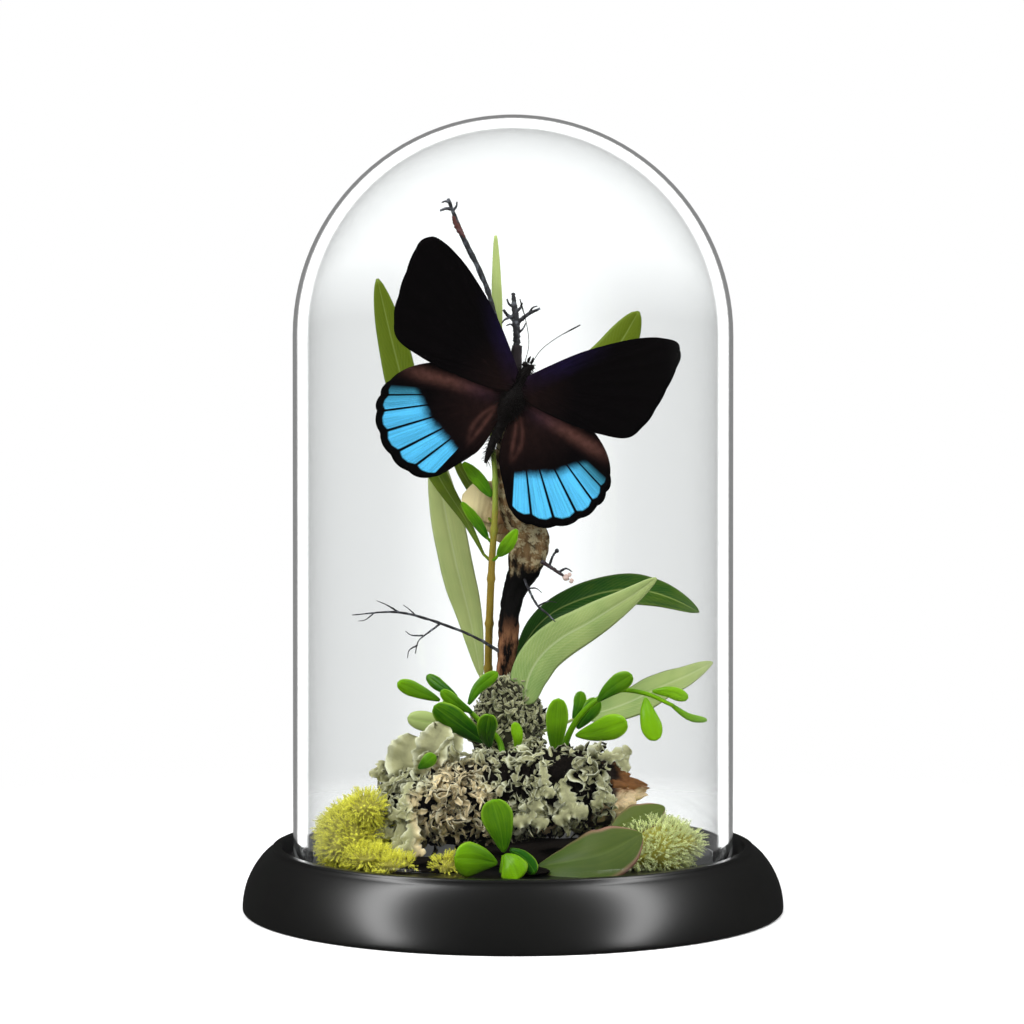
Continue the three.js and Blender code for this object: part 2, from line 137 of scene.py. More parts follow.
# Short shoots on the twigs: a line and the radii at its two ends.
SHOOTS = (
    (((0.8, 7, 151.6), (3.6, 6.4, 154), (7.1, 6, 155.8)), 0.62, 0.34),
    (((4.2, 6.3, 154.4), (5.2, 6, 156), (6.4, 6, 156.4)), 0.34, 0.16),
    (((0.3, 7, 153.1), (-1.4, 6.5, 154), (-2.5, 6, 155.4)), 0.6, 0.34),
    (((-1, 6.6, 153.4), (-2.2, 6.2, 152.8), (-3, 6, 151.8)), 0.36, 0.16),
    (((0.4, 7.4, 155), (1.8, 7, 155.8), (2.4, 7, 157.4)), 0.5, 0.24),
    (((0.2, 7.8, 156.4), (-1, 7.4, 157), (-1.6, 7.2, 158.4)), 0.42, 0.2),
    (((0.9, 6.6, 149), (2.6, 6.2, 150.4), (3.4, 6, 152)), 0.36, 0.14),
    (((0.8, 6.8, 150.5), (-0.6, 6.4, 151.6), (-1.8, 6.2, 151.2)), 0.36, 0.14),
    (((-16, 8.3, 182.2), (-17.6, 7.6, 182.3), (-19.2, 7.2, 181.7)), 0.5, 0.3),
    (((-16.8, 8, 184), (-17.8, 7.4, 184.2), (-18.8, 7, 183.8)), 0.4, 0.18),
    (((-15.6, 8, 182), (-14.9, 7.6, 183), (-14.8, 7.2, 184)), 0.36, 0.2),
    (((-19, 2, 73.4), (-22, 1, 71.2), (-24.6, 0, 69), (-25.4, 0, 65.8)), 0.3, 0.12),
    (((-23.4, 0.6, 70.4), (-26.6, 0.2, 70.6), (-28, 0, 71.6)), 0.25, 0.1),
    (((-24.8, 0, 68), (-27, -0.4, 66.6), (-27.4, -0.6, 64.6)), 0.22, 0.1),
    (((-29.5, -1, 76.5), (-33, -1.6, 78.6), (-35.4, -2, 79.6)), 0.28, 0.08),
    (((-25, 0.2, 75.4), (-27.4, 0, 77.6), (-28.6, -0.2, 78.4)), 0.22, 0.08),
    (((-36, -2.6, 76.4), (-38.4, -3, 74.6), (-40, -3.2, 74.4)), 0.2, 0.08),
    (((9.5, 3, 88.3), (10.4, 2.6, 91), (11.4, 2.4, 92.4)), 0.35, 0.3),
    (((12, 1.8, 86.8), (13.8, 1.4, 87.8), (15.4, 1.2, 87)), 0.4, 0.12),
    (((6.5, 2, 78), (9, 1.2, 79.2), (11.4, 0.8, 79)), 0.25, 0.08),
    (((4, 3.5, 82.5), (6, 2.8, 82.6), (7.6, 2.4, 81.4)), 0.25, 0.08),
)
RED_SKIN = ((-13, 8.8, 174.6), (-14.8, 8.7, 178), (-15.8, 8.5, 180.4))
# Buds: the centre, the radius and the tone
BUDS = (
    ((13.8, 1.1, 85.5), 0.8, 1), ((15.2, 0.9, 84.6), 0.6, 1), ((14.7, 1, 86.2), 0.5, 1),
    ((11.5, 2.3, 92.4), 0.55, 0),
)

# ---------------- the butterfly's lines

WING_SPAN = 37.5
WING_BEND = 4  # how far back the wing tips stand
SPAN_UNIT = 40  # mm of wing to one unit of the span map
WING_STEPS, WING_RAYS, WING_ROWS = 400, 130, 34  # how finely a wing is cut
NO_BAND = -3.0  # the chart value that keeps the blue band off a wing
FOREWING_Y = -2.0
HINDWING_Y = -0.8
FOREWING_ROOT = (1.2, 2.2)
HINDWING_ROOT = (1.2, -1.0)
FOREWING = (
    (1.2, 5), (6, 10.4), (12, 16.5), (19, 22.1), (25, 26), (30, 28.1), (34, 28.3), (36, 25.6), (36.3, 19),
    (35.8, 12), (34.8, 6), (32, 0.6), (25, -1.5), (15, -2.1), (6, -1.7), (1.2, -0.5),
)
HINDWING = (
    (1.2, 1.2), (8, 2), (16, 1.2), (23, -1.7), (28.6, -6.2), (31.6, -11.5), (31.4, -18),
    (27.5, -24.5), (22, -28.6), (16, -30.1), (11, -28.8), (6.5, -23.2), (3, -18), (1.6, -12), (1.2, -5),
)
# Veins run out from the wing's root at these angles, in degrees; the cells lie between them.
FOREWING_VEINS = (62, 50, 42, 36, 30, 22, 13, 3, -8, -30)
HINDWING_VEINS = (4, -17, -24, -31, -40, -50.5, -60.5, -70.5, -82)
BAND_ANGLES = (-17, -24, -31, -40, -50.5, -60.5, -70.5)
BAND_INNER = (24.6, 23.2, 22.4, 21.8, 20.6, 20.0, 20.1)  # millimetres from the root
BAND_OUTER = (30.2, 31.9, 33.4, 33.9, 33.1, 31.2, 28.6)
FOREWING_STRETCH = {-1: (1.05, 0.99), 1: (0.98, 0.985)}  # the two are pinned a little unlike
# the right one of each pair
PALP = ((0.4, -1, 8.4), (0.5, -1.6, 9.2), (0.35, -1.7, 10))
FEELER = ((0.8, -0.4, 7.9), (1.7, -1, 12.5), (4.2, -1.5, 17), (8.5, -2, 22.5))
BODY_LINE = ((0, 0.3, -20), (-0.3, 0.2, -14), (0, 0, -7), (0.3, 0, 0), (0.3, 0, 5), (0.3, -0.2, 8))
BODY_RADII = (0.35, 0.9, 1.1, 1.2, 1.5, 2.9, 3.4, 2.9, 1.6, 1.5, 0.8)

# ---------------- the leaves' lines

LEAF_END = 0.35
TALL_STEM = (
    (-7, 17, 15.6), (-6.8, 17, 45), (-6.5, 13, 66), (-6, 8, 79.5), (-5.5, 4.5, 90), (-4.7, 2, 103),
    (-4.7, 2, 112), (-5.4, 3.6, 121), (-5.3, 7, 129),
)
Leaf = namedtuple("Leaf", "path width finish tone belly facing", defaults=(0.5, 1, FRONT))
TALL_LEAVES = {
    "tall_leaf_left": Leaf(
        ((-7.5, 5, 91), (-12.5, 7, 100.5), (-19.5, 10, 111.5), (-26, 12, 125.5), (-31.5, 12, 145),
         (-36, 10, 164)),
        8.6, "dark_leaf", 0.8, 1.7,
    ),
    "tall_leaf_pale": Leaf(
        ((-8.5, 18.5, 58), (-11.5, 20, 73.5), (-15.5, 19, 89.5), (-19, 18, 107), (-21.5, 17, 121.5)),
        9.2, "pale_leaf", 0.8, 1.1,
    ),
    "tall_leaf_top": Leaf(
        ((-5.3, 8, 131), (-4.5, 11, 142.5), (-4.3, 12, 158.5), (-4.6, 11, 175.5)), 3, "young_leaf", 0.9,
    ),
    "tall_leaf_back": Leaf(
        ((-3.6, 9, 115), (4.5, 13, 124), (16.5, 14, 136.4), (27.2, 13, 145.4), (33.4, 11, 155.4)),
        9.4, "dark_leaf", 1.0, 2.5,
    ),
    "tall_leaf_small_1": Leaf(
        ((-6.3, 5, 100.5), (-9, 9, 106), (-13, 11, 112), (-16.5, 11.5, 118.5)), 3, "dark_leaf", 0.7,
    ),
    "tall_leaf_small_2": Leaf(((-6.6, 3, 95.5), (-9.5, 2.6, 100), (-13.4, 2, 105)), 2.8, "bright_leaf", 0.3),
    "tall_leaf_small_3": Leaf(((-4, 2.2, 91), (-1.5, -0.2, 94), (1, -1, 98)), 3.6, "bright_leaf", 0.5),
    "tall_leaf_small_4": Leaf(
        ((-5.6, 2, 106.5), (-8.6, 2.6, 110.5), (-13, 4, 115.4)), 3.6, "bright_leaf", 0.4,
    ),
}
LONG_LEAVES = {
    "arching_leaf_dark": Leaf(
        ((-0.5, 10, 61), (2.6, 12.6, 66.5), (6, 14, 71.5), (10.5, 14.5, 75.5), (16.5, 14, 78.5), (24, 12, 81),
         (31.5, 9, 82), (38, 6, 81), (43.5, 3, 79), (48.5, 0, 76.5)),
        11.5, "dark_leaf", 0.0, 1.4, RIGHT_UP,
    ),
    "arching_leaf_pale": Leaf(
        ((2.8, 2.6, 52), (4, 3.2, 59), (7, 3.5, 64.5), (12.5, 3, 69.5), (19.5, 2, 73.5),
         (26.5, 0, 78), (32.5, -2, 82), (37, -4, 85.5)),
        10.8, "pale_leaf", 0.3, 0.58,
    ),
    "low_leaf_pale": Leaf(
        ((17, 9, 48.5), (24, 8, 50), (30.5, 6, 52.5), (38, 2, 56.5), (45.5, -4, 60.5), (51, -8.5, 64)),
        10.5, "pale_leaf", 0.35, 1, RIGHT_UP,
    ),
}
# The stalks that hold leaves which stand off from their stem
STALKS = {
    "tall_leaf_left": ((-5.4, 4.3, 89.5), (-6.4, 4.6, 90.2), (-7.9, 5.1, 91.6)),
    "tall_leaf_pale": ((-6.7, 16.4, 51), (-7.4, 17.6, 55), (-8.7, 18.6, 58.8)),
    "tall_leaf_back": ((-4.8, 2.4, 112), (-4.4, 5.5, 113.4), (-3.2, 9.2, 115.6)),
    "tall_leaf_small_1": ((-4.9, 2.4, 99.5), (-5.6, 3.8, 100), (-6.6, 5.4, 101.2)),
    "tall_leaf_small_2": ((-5.2, 3.6, 94.6), (-5.9, 3.3, 94.9), (-6.9, 3, 96)),
    "tall_leaf_small_3": ((-5.4, 4.3, 90), (-4.7, 3.2, 90.2), (-3.8, 2, 91.4)),
    "low_leaf_pale": ((3, 8.5, 44), (10.5, 9.4, 45.4), (18, 8.9, 48.8)),
    "broad_leaf_back": ((22.4, -26.4, 15.1), (22.6, -27.2, 19.4), (24.6, -28, 23.6)),
}
BROAD_LEAVES = {
    "broad_leaf_front": Leaf(
        ((5.5, -38, 16), (13, -41, 17.8), (21.5, -41.5, 19.8), (31, -38, 24.2)),
        14, "thick_leaf", 0.38, 1.3, RIGHT_UP,
    ),
    "broad_leaf_back": Leaf(
        ((24, -28, 23), (30, -27, 26), (37.5, -24, 29)), 8, "thick_leaf", 0.9, 1, RIGHT_UP,
    ),
}
SPOON_BELLY = 0.66  # where a sprig leaf is widest
# Each sprig: its stem, then the line and the width of every leaf.
SPRIGS = {
    "sprig_left": (
        ((-2.6, -4.6, 37), (-3.5, -1.6, 43), (-8.5, -4, 48.5), (-13, -5, 52.5), (-18, -6.5, 53.8)),
        (
            (((-18.8, -6.8, 54.2), (-24, -8, 56.5), (-29.5, -10, 59)), 3.8),
            (((-14.5, -3.5, 54.8), (-19, -1, 57.5), (-22.5, 1, 60)), 3),
            (((-10.5, -5.8, 51), (-14.5, -7.5, 53.5), (-18.5, -8, 56.8)), 3),
            (((-14, -3.5, 49), (-20, -1.5, 48), (-27.5, 0, 49)), 5),
            (((-7, -5, 43), (-13, -11, 48), (-20, -15, 53.5)), 6.2),
            (((-6, -7, 42), (-6.7, -12, 46.5), (-6, -16, 51.5)), 5),
            (((-11.5, -2.8, 52.8), (-9, -2, 57), (-4, -1, 61)), 3.2),
        ),
    ),
    "sprig_right": (
        ((12, -6, 38), (15, -8, 47), (19.5, -10, 53), (26, -11, 57), (33.5, -13, 56.5), (40.5, -15, 53.5)),
        (
            (((11, -9.5, 39.5), (11, -13, 47), (11.5, -16, 55.5)), 5.4),
            (((15.5, -7, 49.5), (17, -6.5, 53), (17.5, -6, 56.5)), 3),
            (((21.5, -12.2, 54.5), (24.5, -13.5, 57.5), (30, -15.5, 61.5)), 4.6),
            (((16, -10.5, 45.5), (21.5, -15, 47), (28.5, -20, 50)), 6.2),
            (((16.5, -7.5, 47), (19, -7, 50.5), (22, -6, 54.5)), 4.5),
            (((33.5, -14.2, 55.5), (34, -17, 51.5), (35.8, -18.5, 45)), 5),
            (((35.3, -13.6, 57.1), (39.5, -15, 57), (44, -16, 55.5)), 3),
            (((39.6, -15, 54), (44.5, -14.2, 50.6), (49, -13, 49.6)), 1.6),
        ),
    ),
    "sprig_front": (
        ((-2.5, -42.5, 15.6), (-2.4, -42.3, 17), (-2.2, -41.8, 19.5)),
        (
            (((-2.2, -42.2, 20.3), (-3, -43.5, 26), (-5, -45, 33.5)), 7.4),
            (((-3.8, -43.2, 17.8), (-8.5, -45.3, 19), (-14, -46.8, 19.5)), 8),
            (((-2, -43.5, 20), (-0.4, -45.5, 18), (1.2, -46.6, 14.8)), 6.6),
            (((-0.8, -41.8, 21), (2.3, -43, 19.4), (5.4, -44.6, 15.8)), 3.4),
        ),
    ),
}

# Leaves of other sprigs that lie loose: line, width and tone
LOOSE_LEAVES = {
    "sprig_left": (
        (((-23.6, -22, 38.4), (-21.6, -23.4, 40), (-19.4, -23, 42)), 3.2, 0.2),
        (((0.8, -14, 42), (1.2, -16, 45.5), (0.4, -16.5, 49.5)), 2.6, 1.0),
    ),
}
SPRIG_TONES = {
    "sprig_left": (0.55, 0.0, 0.35, 2.0, 0.05, 0.1, 0.3),
    "sprig_right": (0.5, 0.2, 0.3, 0.75, 0.1, 0.95, 0.9, 0.8),
    "sprig_front": (0.4, 0.6, 0.7, -0.3),
}

# ---------------- lichen and moss

FOOT_CRUST = ((-1.3, 9, 38), (-1.3, 8.5, 48), (-1.4, 8, 59))
CUP = ((-26, -11, 35), (-22.5, -12, 40), (-18.5, -13, 44.5))


def srgb(code):
    """The linear colour, with alpha, of an sRGB hex code."""
    parts = [int(code[i:i + 2], 16) / 255 for i in (1, 3, 5)]
    linear = [part / 12.92 if part <= 0.04045 else ((part + 0.055) / 1.055) ** 2.4 for part in parts]
    return (*linear, 1.0)


def colour(label, code, note):
    """A colour setting whose default is an sRGB hex code."""
    return FloatVectorProperty(
        name=label, description=note, subtype="COLOR", size=4, min=0, max=1, default=srgb(code),
    )


def length(label, millimetres, note):
    """A length setting whose default is given in millimetres."""
    return FloatProperty(
        name=label, description=note, unit="LENGTH", min=0, precision=5, default=millimetres * MM,
    )


def number(label, value, note, **more):
    """A number setting, with its unit or its least value where it has one."""
    return FloatProperty(name=label, description=note, default=value, **more)


# ---------------- settings


class BaseSettings(bpy.types.PropertyGroup):
    foot_radius: length("Foot radius", 70, "Radius of the turned base at the table")
    rim_radius: length("Rim radius", 62.5, "Radius at the top of the base's side")
    rim_height: length("Rim height", 16.5, "Height of the rim above the table")
    groove_outer: length("Groove outer radius", 60, "Outer wall of the groove that holds the glass")
    groove_inner: length("Groove inner radius", 51.5, "Inner wall of the groove")
    groove_height: length("Groove floor", 12, "Height of the groove's floor")
    stage_height: length("Raised middle", 15, "Height of the middle that carries the arrangement")
    lacquer: colour("Lacquer", "#070707", "Colour of the lacquer")


class GlassSettings(bpy.types.PropertyGroup):
    height: length("Height", 205, "Height of the dome's top above the table")
    radius: length("Radius", 57, "Outer radius of the dome")
    wall: length("Wall", 2.5, "Thickness of the glass")
    foot: length("Foot height", 12.3, "Height of the dome's lower edge")
    tint: colour("Tint", "#c6cac9", "What the glass lets through in thick places")


class WoodSettings(bpy.types.PropertyGroup):
    bark: colour("Bark", "#3a261b", "Main colour of the log's bark")
    crack: colour("Cracks", "#0d0807", "Colour deep between the bark's plates")
    heartwood: colour("Split wood", "#ffe2b4", "Colour of the log's broken end")
    twig: colour("Twigs", "#232227", "Colour of the thin twigs")


class ButterflySettings(bpy.types.PropertyGroup):
    centre: FloatVectorProperty(
        name="Centre", description="Middle of the thorax", subtype="XYZ", unit="LENGTH",
        default=(0.7 * MM, 0.0, 133.6 * MM),
    )
    lean: number("Lean", math.radians(23.3), "Turn of the butterfly in its own plane", unit="ROTATION")
    ground: colour("Wing ground", "#030102", "The wings' velvety ground colour")
    warm: colour("Wing bases", "#66423a", "The warmer brown towards the wings' bases")
    band: colour("Band", "#58c4f8", "The blue of the hindwings' band")
    band_edge: colour("Band edge", "#3a86a0", "The band's colour at its ends")


class LeafSettings(bpy.types.PropertyGroup):
    dark: colour("Dark leaf", "#6a7e16", "Main colour of the long dark leaves")
    pale: colour("Pale leaf", "#c0cc82", "Main colour of the long pale leaves")
    young: colour("Young leaf", "#c2d582", "Main colour of the small leaves and the top one")
    thick: colour("Broad leaf", "#5c6a2a", "Main colour of the two broad leaves in front")
    bright: colour("Sprig leaf", "#7cb408", "Main colour of the moulded sprig leaves")
    stem: colour("Stem", "#8fa63a", "Main colour of the tall stem")
    thickness: length("Thickness", 0.45, "Thickness of a long leaf")


class LichenSettings(bpy.types.PropertyGroup):
    spacing: length("Spacing", 1.3, "Least distance between two of the cup's lobes")
    smallest: number("Smallest lobe", 0.55, "Scale of the smallest lobe", min=0.1)
    largest: number("Largest lobe", 1.15, "Scale of the largest lobe", min=0.1)
    grey: colour("Grey lichen", "#b3b288", "The grey-green lobes")
    cream: colour("Cream lichen", "#f6e0b0", "The cream lobes in the middle")
    # painted shade: the nearly black colour in the gaps, under the lobes and on the crust
    depth: colour("Depth", "#050403", "The dark crust below the lobes")
    seed: IntProperty(name="Seed", description="Seed of the lobes' places", default=4, min=0)


class MossSettings(bpy.types.PropertyGroup):
    spacing: length("Spacing", 0.45, "Least distance between two shoots")
    left: colour("Left tuft", "#f2f060", "Tips of the left tuft")
    right: colour("Right tuft", "#eaf2b4", "Tips of the right tuft")
    # painted shade deep in the tufts, at the roots and on the ground between the shoots
    depth: colour("Depth", "#b4ae50", "Roots of the shoots")
    seed: IntProperty(name="Seed", description="Seed of the shoots' places", default=11, min=0)


class StageSettings(bpy.types.PropertyGroup):
    eye: FloatVectorProperty(
        name="Camera", description="Where the camera stands", subtype="XYZ", unit="LENGTH",
        default=(-0.26 * MM, -0.65, 0.11),
    )
    pitch: number("Pitch", math.radians(0.66), "How far the camera looks down", unit="ROTATION")
    lens: number("Lens", 87.96, "Focal length on a 36 mm sensor, in millimetres")
    floor: colour("Floor", "#f2f2f2", "Colour of the studio floor")
    backlight: number("Backlight", 1.55, "The backdrop's strength through the glass", min=0)
    ring_place: number("Ring place", 0.8, "Cosine of the ring light's angle from the back")
    ring_width: number("Ring width", 0.1, "Half the ring's width, in the same measure", min=0)
    ring_strength: number("Ring strength", 4.0, "The ring light's strength", min=0)


SETTINGS = {
    "base": BaseSettings,
    "glass": GlassSettings,
    "wood": WoodSettings,
    "butterfly": ButterflySettings,
    "leaves": LeafSettings,
    "lichen": LichenSettings,
    "moss": MossSettings,
    "stage": StageSettings,
}


class InsectDomeSettings(bpy.types.PropertyGroup):
    __annotations__ = {name: PointerProperty(type=group) for name, group in SETTINGS.items()}


# ---------------- shapes

# points in mm; chart: two coordinates that follow the surface; under: 1 on the lower face
Shape = namedtuple("Shape", "points faces chart under")


def unit(vectors):
    """The vectors, or one vector, at length 1."""
    vectors = np.asarray(vectors, float)
    return vectors / np.linalg.norm(vectors, axis=-1, keepdims=True)


def smooth_line(path, steps):
    """Evenly spaced points on a smooth line through the given ones, and its direction at each."""
    given = np.array(path, float)
    given = np.vstack([2 * given[0] - given[1], given, 2 * given[-1] - given[-2]])
    dense = []
    weights = np.linspace(0, 1, 24, endpoint=False)[:, None]
    for a, b, c, d in zip(given, given[1:], given[2:], given[3:]):
        ab, bc, cd = (np.linalg.norm(end - start) ** 0.5 for start, end in ((a, b), (b, c), (c, d)))
        leave = ((b - a) / ab - (c - a) / (ab + bc) + (c - b) / bc) * bc
        arrive = ((c - b) / bc - (d - b) / (bc + cd) + (d - c) / cd) * bc
        square, cube = weights**2, weights**3
        dense.append(
            (2 * cube - 3 * square + 1) * b + (cube - 2 * square + weights) * leave
            + (3 * square - 2 * cube) * c + (cube - square) * arrive
        )
    dense = np.vstack([*dense, given[-2]])
    walked = np.concatenate([[0], np.cumsum(np.linalg.norm(np.diff(dense, axis=0), axis=1))])
    stops = np.linspace(0, walked[-1], steps + 1)
    line = np.column_stack([np.interp(stops, walked, dense[:, axis]) for axis in range(3)])
    return line, unit(np.gradient(line, axis=0))


def spread(values, t):
    """The value at t in a list that is spread evenly from 0 to 1."""
    return np.interp(t, np.linspace(0, 1, len(values)), values)


def wobble(*place):
    """Smooth noise from -1 to 1."""
    return noise.noise(Vector(place)) * 2


def sweep(path, outline, steps, facing):
    """A closed solid along a smooth line. outline(t) gives a ring anticlockwise, one row a point:
    its offset to the side and to the facing, its chart coordinate, and 1 on the lower face."""
    line, along = smooth_line(path, steps)
    side = unit(np.cross(along, facing))
    out = np.cross(side, along)
    points, chart, under = [], [], []
    for i, t in enumerate(np.linspace(0, 1, steps + 1)):
        ring = outline(t)
        points.append(line[i] + ring[:, :1] * side[i] + ring[:, 1:2] * out[i])
        chart.append(np.column_stack([ring[:, 2], np.full(len(ring), t)]))
        under.append(ring[:, 3])
    count = len(points[0])
    faces = []
    for low in range(0, steps * count, count):
        for k in range(count):
            after = (k + 1) % count
            faces.append((low + k, low + count + k, low + count + after, low + after))
    start, end, last = (steps + 1) * count, (steps + 1) * count + 1, steps * count
    faces += [(start, k, (k + 1) % count) for k in range(count)]
    faces += [(end, last + (k + 1) % count, last + k) for k in range(count)]
    points += [points[0].mean(axis=0, keepdims=True), points[-1].mean(axis=0, keepdims=True)]
    chart.append([(0.5, 0), (0.5, 1)])
    under.append([0.5, 0.5])
    return Shape(np.vstack(points), faces, np.vstack(chart), np.concatenate(under))


def tube(path, radii, sides, steps, facing=FRONT, relief=None):
    """A round limb; relief(angle, t) swells or shrinks its radius."""
    angles = np.arange(sides) * math.tau / sides
    blank = np.zeros(sides)

    def outline(t):
        radius = np.full(sides, spread(radii, t))
        if relief:
            radius = radius * [1 + relief(angle, t) for angle in angles]
        return np.column_stack([radius * np.cos(angles), radius * np.sin(angles), angles / math.tau, blank])

    return sweep(path, outline, steps, facing)


TOP_COLUMNS = np.array([1, 0.88, 0.66, 0.38, 0.12, 0, -0.12, -0.38, -0.66, -0.88, -1])
LOBE_COLUMNS = np.array([1, 0.5, 0, -0.5, -1])


def blade(path, half_width, steps, facing, thick, cup=0.0, fold=0.0, rib=0.0, ruffle=0.0,
          ragged=0.0, seed=0.0, waves=5.0, columns=TOP_COLUMNS):
    """A thin leaf or lobe. half_width(t) is in mm; cup, fold and ruffle are shares of it that the
    edges stand proud of the middle, ragged is the share that the outline wanders."""
    across = np.concatenate([columns, columns[-2:0:-1]])
    layer = np.concatenate([np.ones(len(columns)), -np.ones(len(columns) - 2)])
    layer[np.abs(across) == 1] = 0
    edge = across**2
    chart = (across + 1) / 2

    def outline(t):
        half = half_width(t)
        hands = np.sign(across)
        drift = np.array([wobble(seed, t * waves, 3 * hand) for hand in hands])
        jag = np.array([wobble(seed + 9, t * waves * 1.7, 3 * hand) for hand in hands])
        body = min(thick, half) / 2 * (1 - 0.7 * edge)
        proud = half * (cup * edge + fold * np.abs(across) + ruffle * drift * edge)
        groove = rib * np.exp(-((across * half / 0.35) ** 2)) * min(1, half / 1.5)
        return np.column_stack([
            half * across * (1 + ragged * jag), proud + body * layer - groove, chart, layer < 0,
        ])

    return sweep(path, outline, steps, facing)


def lathe(profile, segments):
    """Turned about Z: the profile is (radius, height) pairs, anticlockwise round the material."""
    profile = np.array(profile, float)
    poles = [i for i, (radius, _) in enumerate(profile) if radius == 0]
    angles = np.arange(segments) * math.tau / segments
    points, index = [], {}
    for i, (radius, height) in enumerate(profile):
        if i in poles:
            index[i] = [len(points)] * segments
            points.append((0, 0, height))
        else:
            index[i] = list(range(len(points), len(points) + segments))
            points += [(radius * math.cos(a), radius * math.sin(a), height) for a in angles]
    faces = []
    for i in range(len(profile)):
        low, high = index[i], index[(i + 1) % len(profile)]
        if i in poles and (i + 1) % len(profile) in poles:
            continue
        for k in range(segments):
            ring = (low[k], low[(k + 1) % segments], high[(k + 1) % segments], high[k])
            faces.append(tuple(dict.fromkeys(ring)))
    points = np.array(points, float)
    return Shape(points, faces, points[:, :2] / 100, np.zeros(len(points)))


def ball(centre, radii, rough=0.0, seed=0.0, rings=10, sides=14):
    """A closed round lump."""
    centre = np.array(centre, float)
    radii = np.array(radii, float)

    def relief(angle, t):
        return rough * wobble(seed + 2 * math.cos(angle), 2 * math.sin(angle), 4 * t)

    tall = np.array([centre - (0, 0, radii[2]), centre + (0, 0, radii[2])])
    heights = np.linspace(0, 1, rings + 1)
    profile = [max(0.02, math.sin(math.pi * t)) for t in heights]
    lump = tube(tall, profile, sides, rings, relief=relief)
    lump.points[:, :2] = centre[:2] + (lump.points[:, :2] - centre[:2]) * radii[:2]
    # rows follow the arc, so that the ends are round
    height = (lump.points[:, 2] - tall[0][2]) / (2 * radii[2])
    lump.points[:, 2] = centre[2] - radii[2] * np.cos(math.pi * np.clip(height, 0, 1))
    return lump


def darkened(shape, amount=1.0):
    """The shape with the colour of its underside all over."""
    return shape._replace(under=np.full(len(shape.points), amount))


def joined(shapes):
    """Several closed shapes as one."""
    faces, start = [], 0
    for shape in shapes:
        faces += [tuple(start + corner for corner in face) for face in shape.faces]
        start += len(shape.points)
    points, chart = (np.vstack([getattr(shape, part) for shape in shapes]) for part in ("points", "chart"))
    return Shape(points, faces, chart, np.concatenate([shape.under for shape in shapes]))


def build(name, shapes, material, tones=None, **marks):
    """Makes one mesh object of several closed shapes. tones and the marks, which become attributes
    of the same name, hold a number for each shape, or one for each of its points."""
    marks["tone"] = tones or [0.5] * len(shapes)
    marks["under"] = [shape.under for shape in shapes]
    whole = joined(shapes)
    mesh = bpy.data.meshes.new(name)
    mesh.from_pydata((whole.points * MM).tolist(), [], whole.faces)
    corners = np.empty(len(mesh.loops), int)
    mesh.loops.foreach_get("vertex_index", corners)
    mesh.uv_layers.new(name="chart").data.foreach_set("uv", whole.chart[corners].astype(np.float32).ravel())
    for label, values in marks.items():
        numbers = [
            np.broadcast_to(value, len(shape.points)) for value, shape in zip(values, shapes, strict=True)
        ]
        data = mesh.attributes.new(label, "FLOAT", "POINT").data
        data.foreach_set("value", np.concatenate(numbers).astype(np.float32))
    mesh.shade_smooth()
    mesh.materials.append(material)
    made = bpy.data.objects.new(name, mesh)
    bpy.context.scene.collection.objects.link(made)
    return made


def keep(made, slot, *nodes):
    """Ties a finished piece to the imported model."""
    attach(made, "root")
    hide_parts(*nodes)


# ---------------- node trees

MIX_A, MIX_B = 6, 7  # the colour inputs of a Mix node


def add(tree, kind, inputs=None, **settings):
    """Adds a node with its settings and its inputs, by name or as a list in order. A socket is
    linked, a node is linked from its first output in use, and any other value is set. A shader
    node's kind is written without ShaderNode in front."""
    whole = kind.startswith(("Geometry", "Function", "NodeGroup"))
    made = tree.nodes.new(kind if whole else "ShaderNode" + kind)
    for name, value in settings.items():
        setattr(made, name, value)
    for key, value in inputs.items() if isinstance(inputs, dict) else enumerate(inputs or ()):
        if isinstance(value, bpy.types.Node):
            value = next(socket for socket in value.outputs if socket.enabled)
        if isinstance(value, bpy.types.NodeSocket):
            tree.links.new(value, made.inputs[key])
        else:
            made.inputs[key].default_value = value
    return made


def new_material(name):
    """An empty material, its tree and its coordinates in metres."""
    material = bpy.data.materials.new(name)
    material.use_nodes = True
    material.node_tree.nodes.clear()
    tree = material.node_tree
    return material, tree, add(tree, "TexCoord").outputs["Object"]


def finished(material, colour, roughness, relief, strength, depth, **more):
    """Ends a material with its colour, its roughness and a fine relief, whose depth is in mm."""
    tree = material.node_tree
    bump = add(tree, "Bump", {"Height": relief, "Strength": strength, "Distance": depth * MM})
    body = add(tree, "BsdfPrincipled", {"Base Color": colour, "Roughness": roughness, "Normal": bump, **more})
    add(tree, "OutputMaterial", {"Surface": body})
    return material


def lacquer_material(settings):
    """Black furniture lacquer sprayed on turned wood: even, satin, with a faint orange peel."""
    material, tree, place = new_material("Satin black lacquer")
    cloud = add(tree, "TexNoise", {"Vector": place, "Scale": 1 / (35 * MM), "Detail": 3.0})
    body = add(tree, "Mix", {
        "Factor": cloud, MIX_A: settings.lacquer, MIX_B: srgb("#0f0f0e"),
    }, data_type="RGBA")
    rough = add(tree, "MapRange", {"Value": cloud, "To Min": 0.26, "To Max": 0.34})
    peel = add(tree, "TexNoise", {"Vector": place, "Scale": 1 / (1.1 * MM), "Detail": 2.0})
    return finished(material, body, rough, peel, 0.12, 0.03, IOR=1.5)


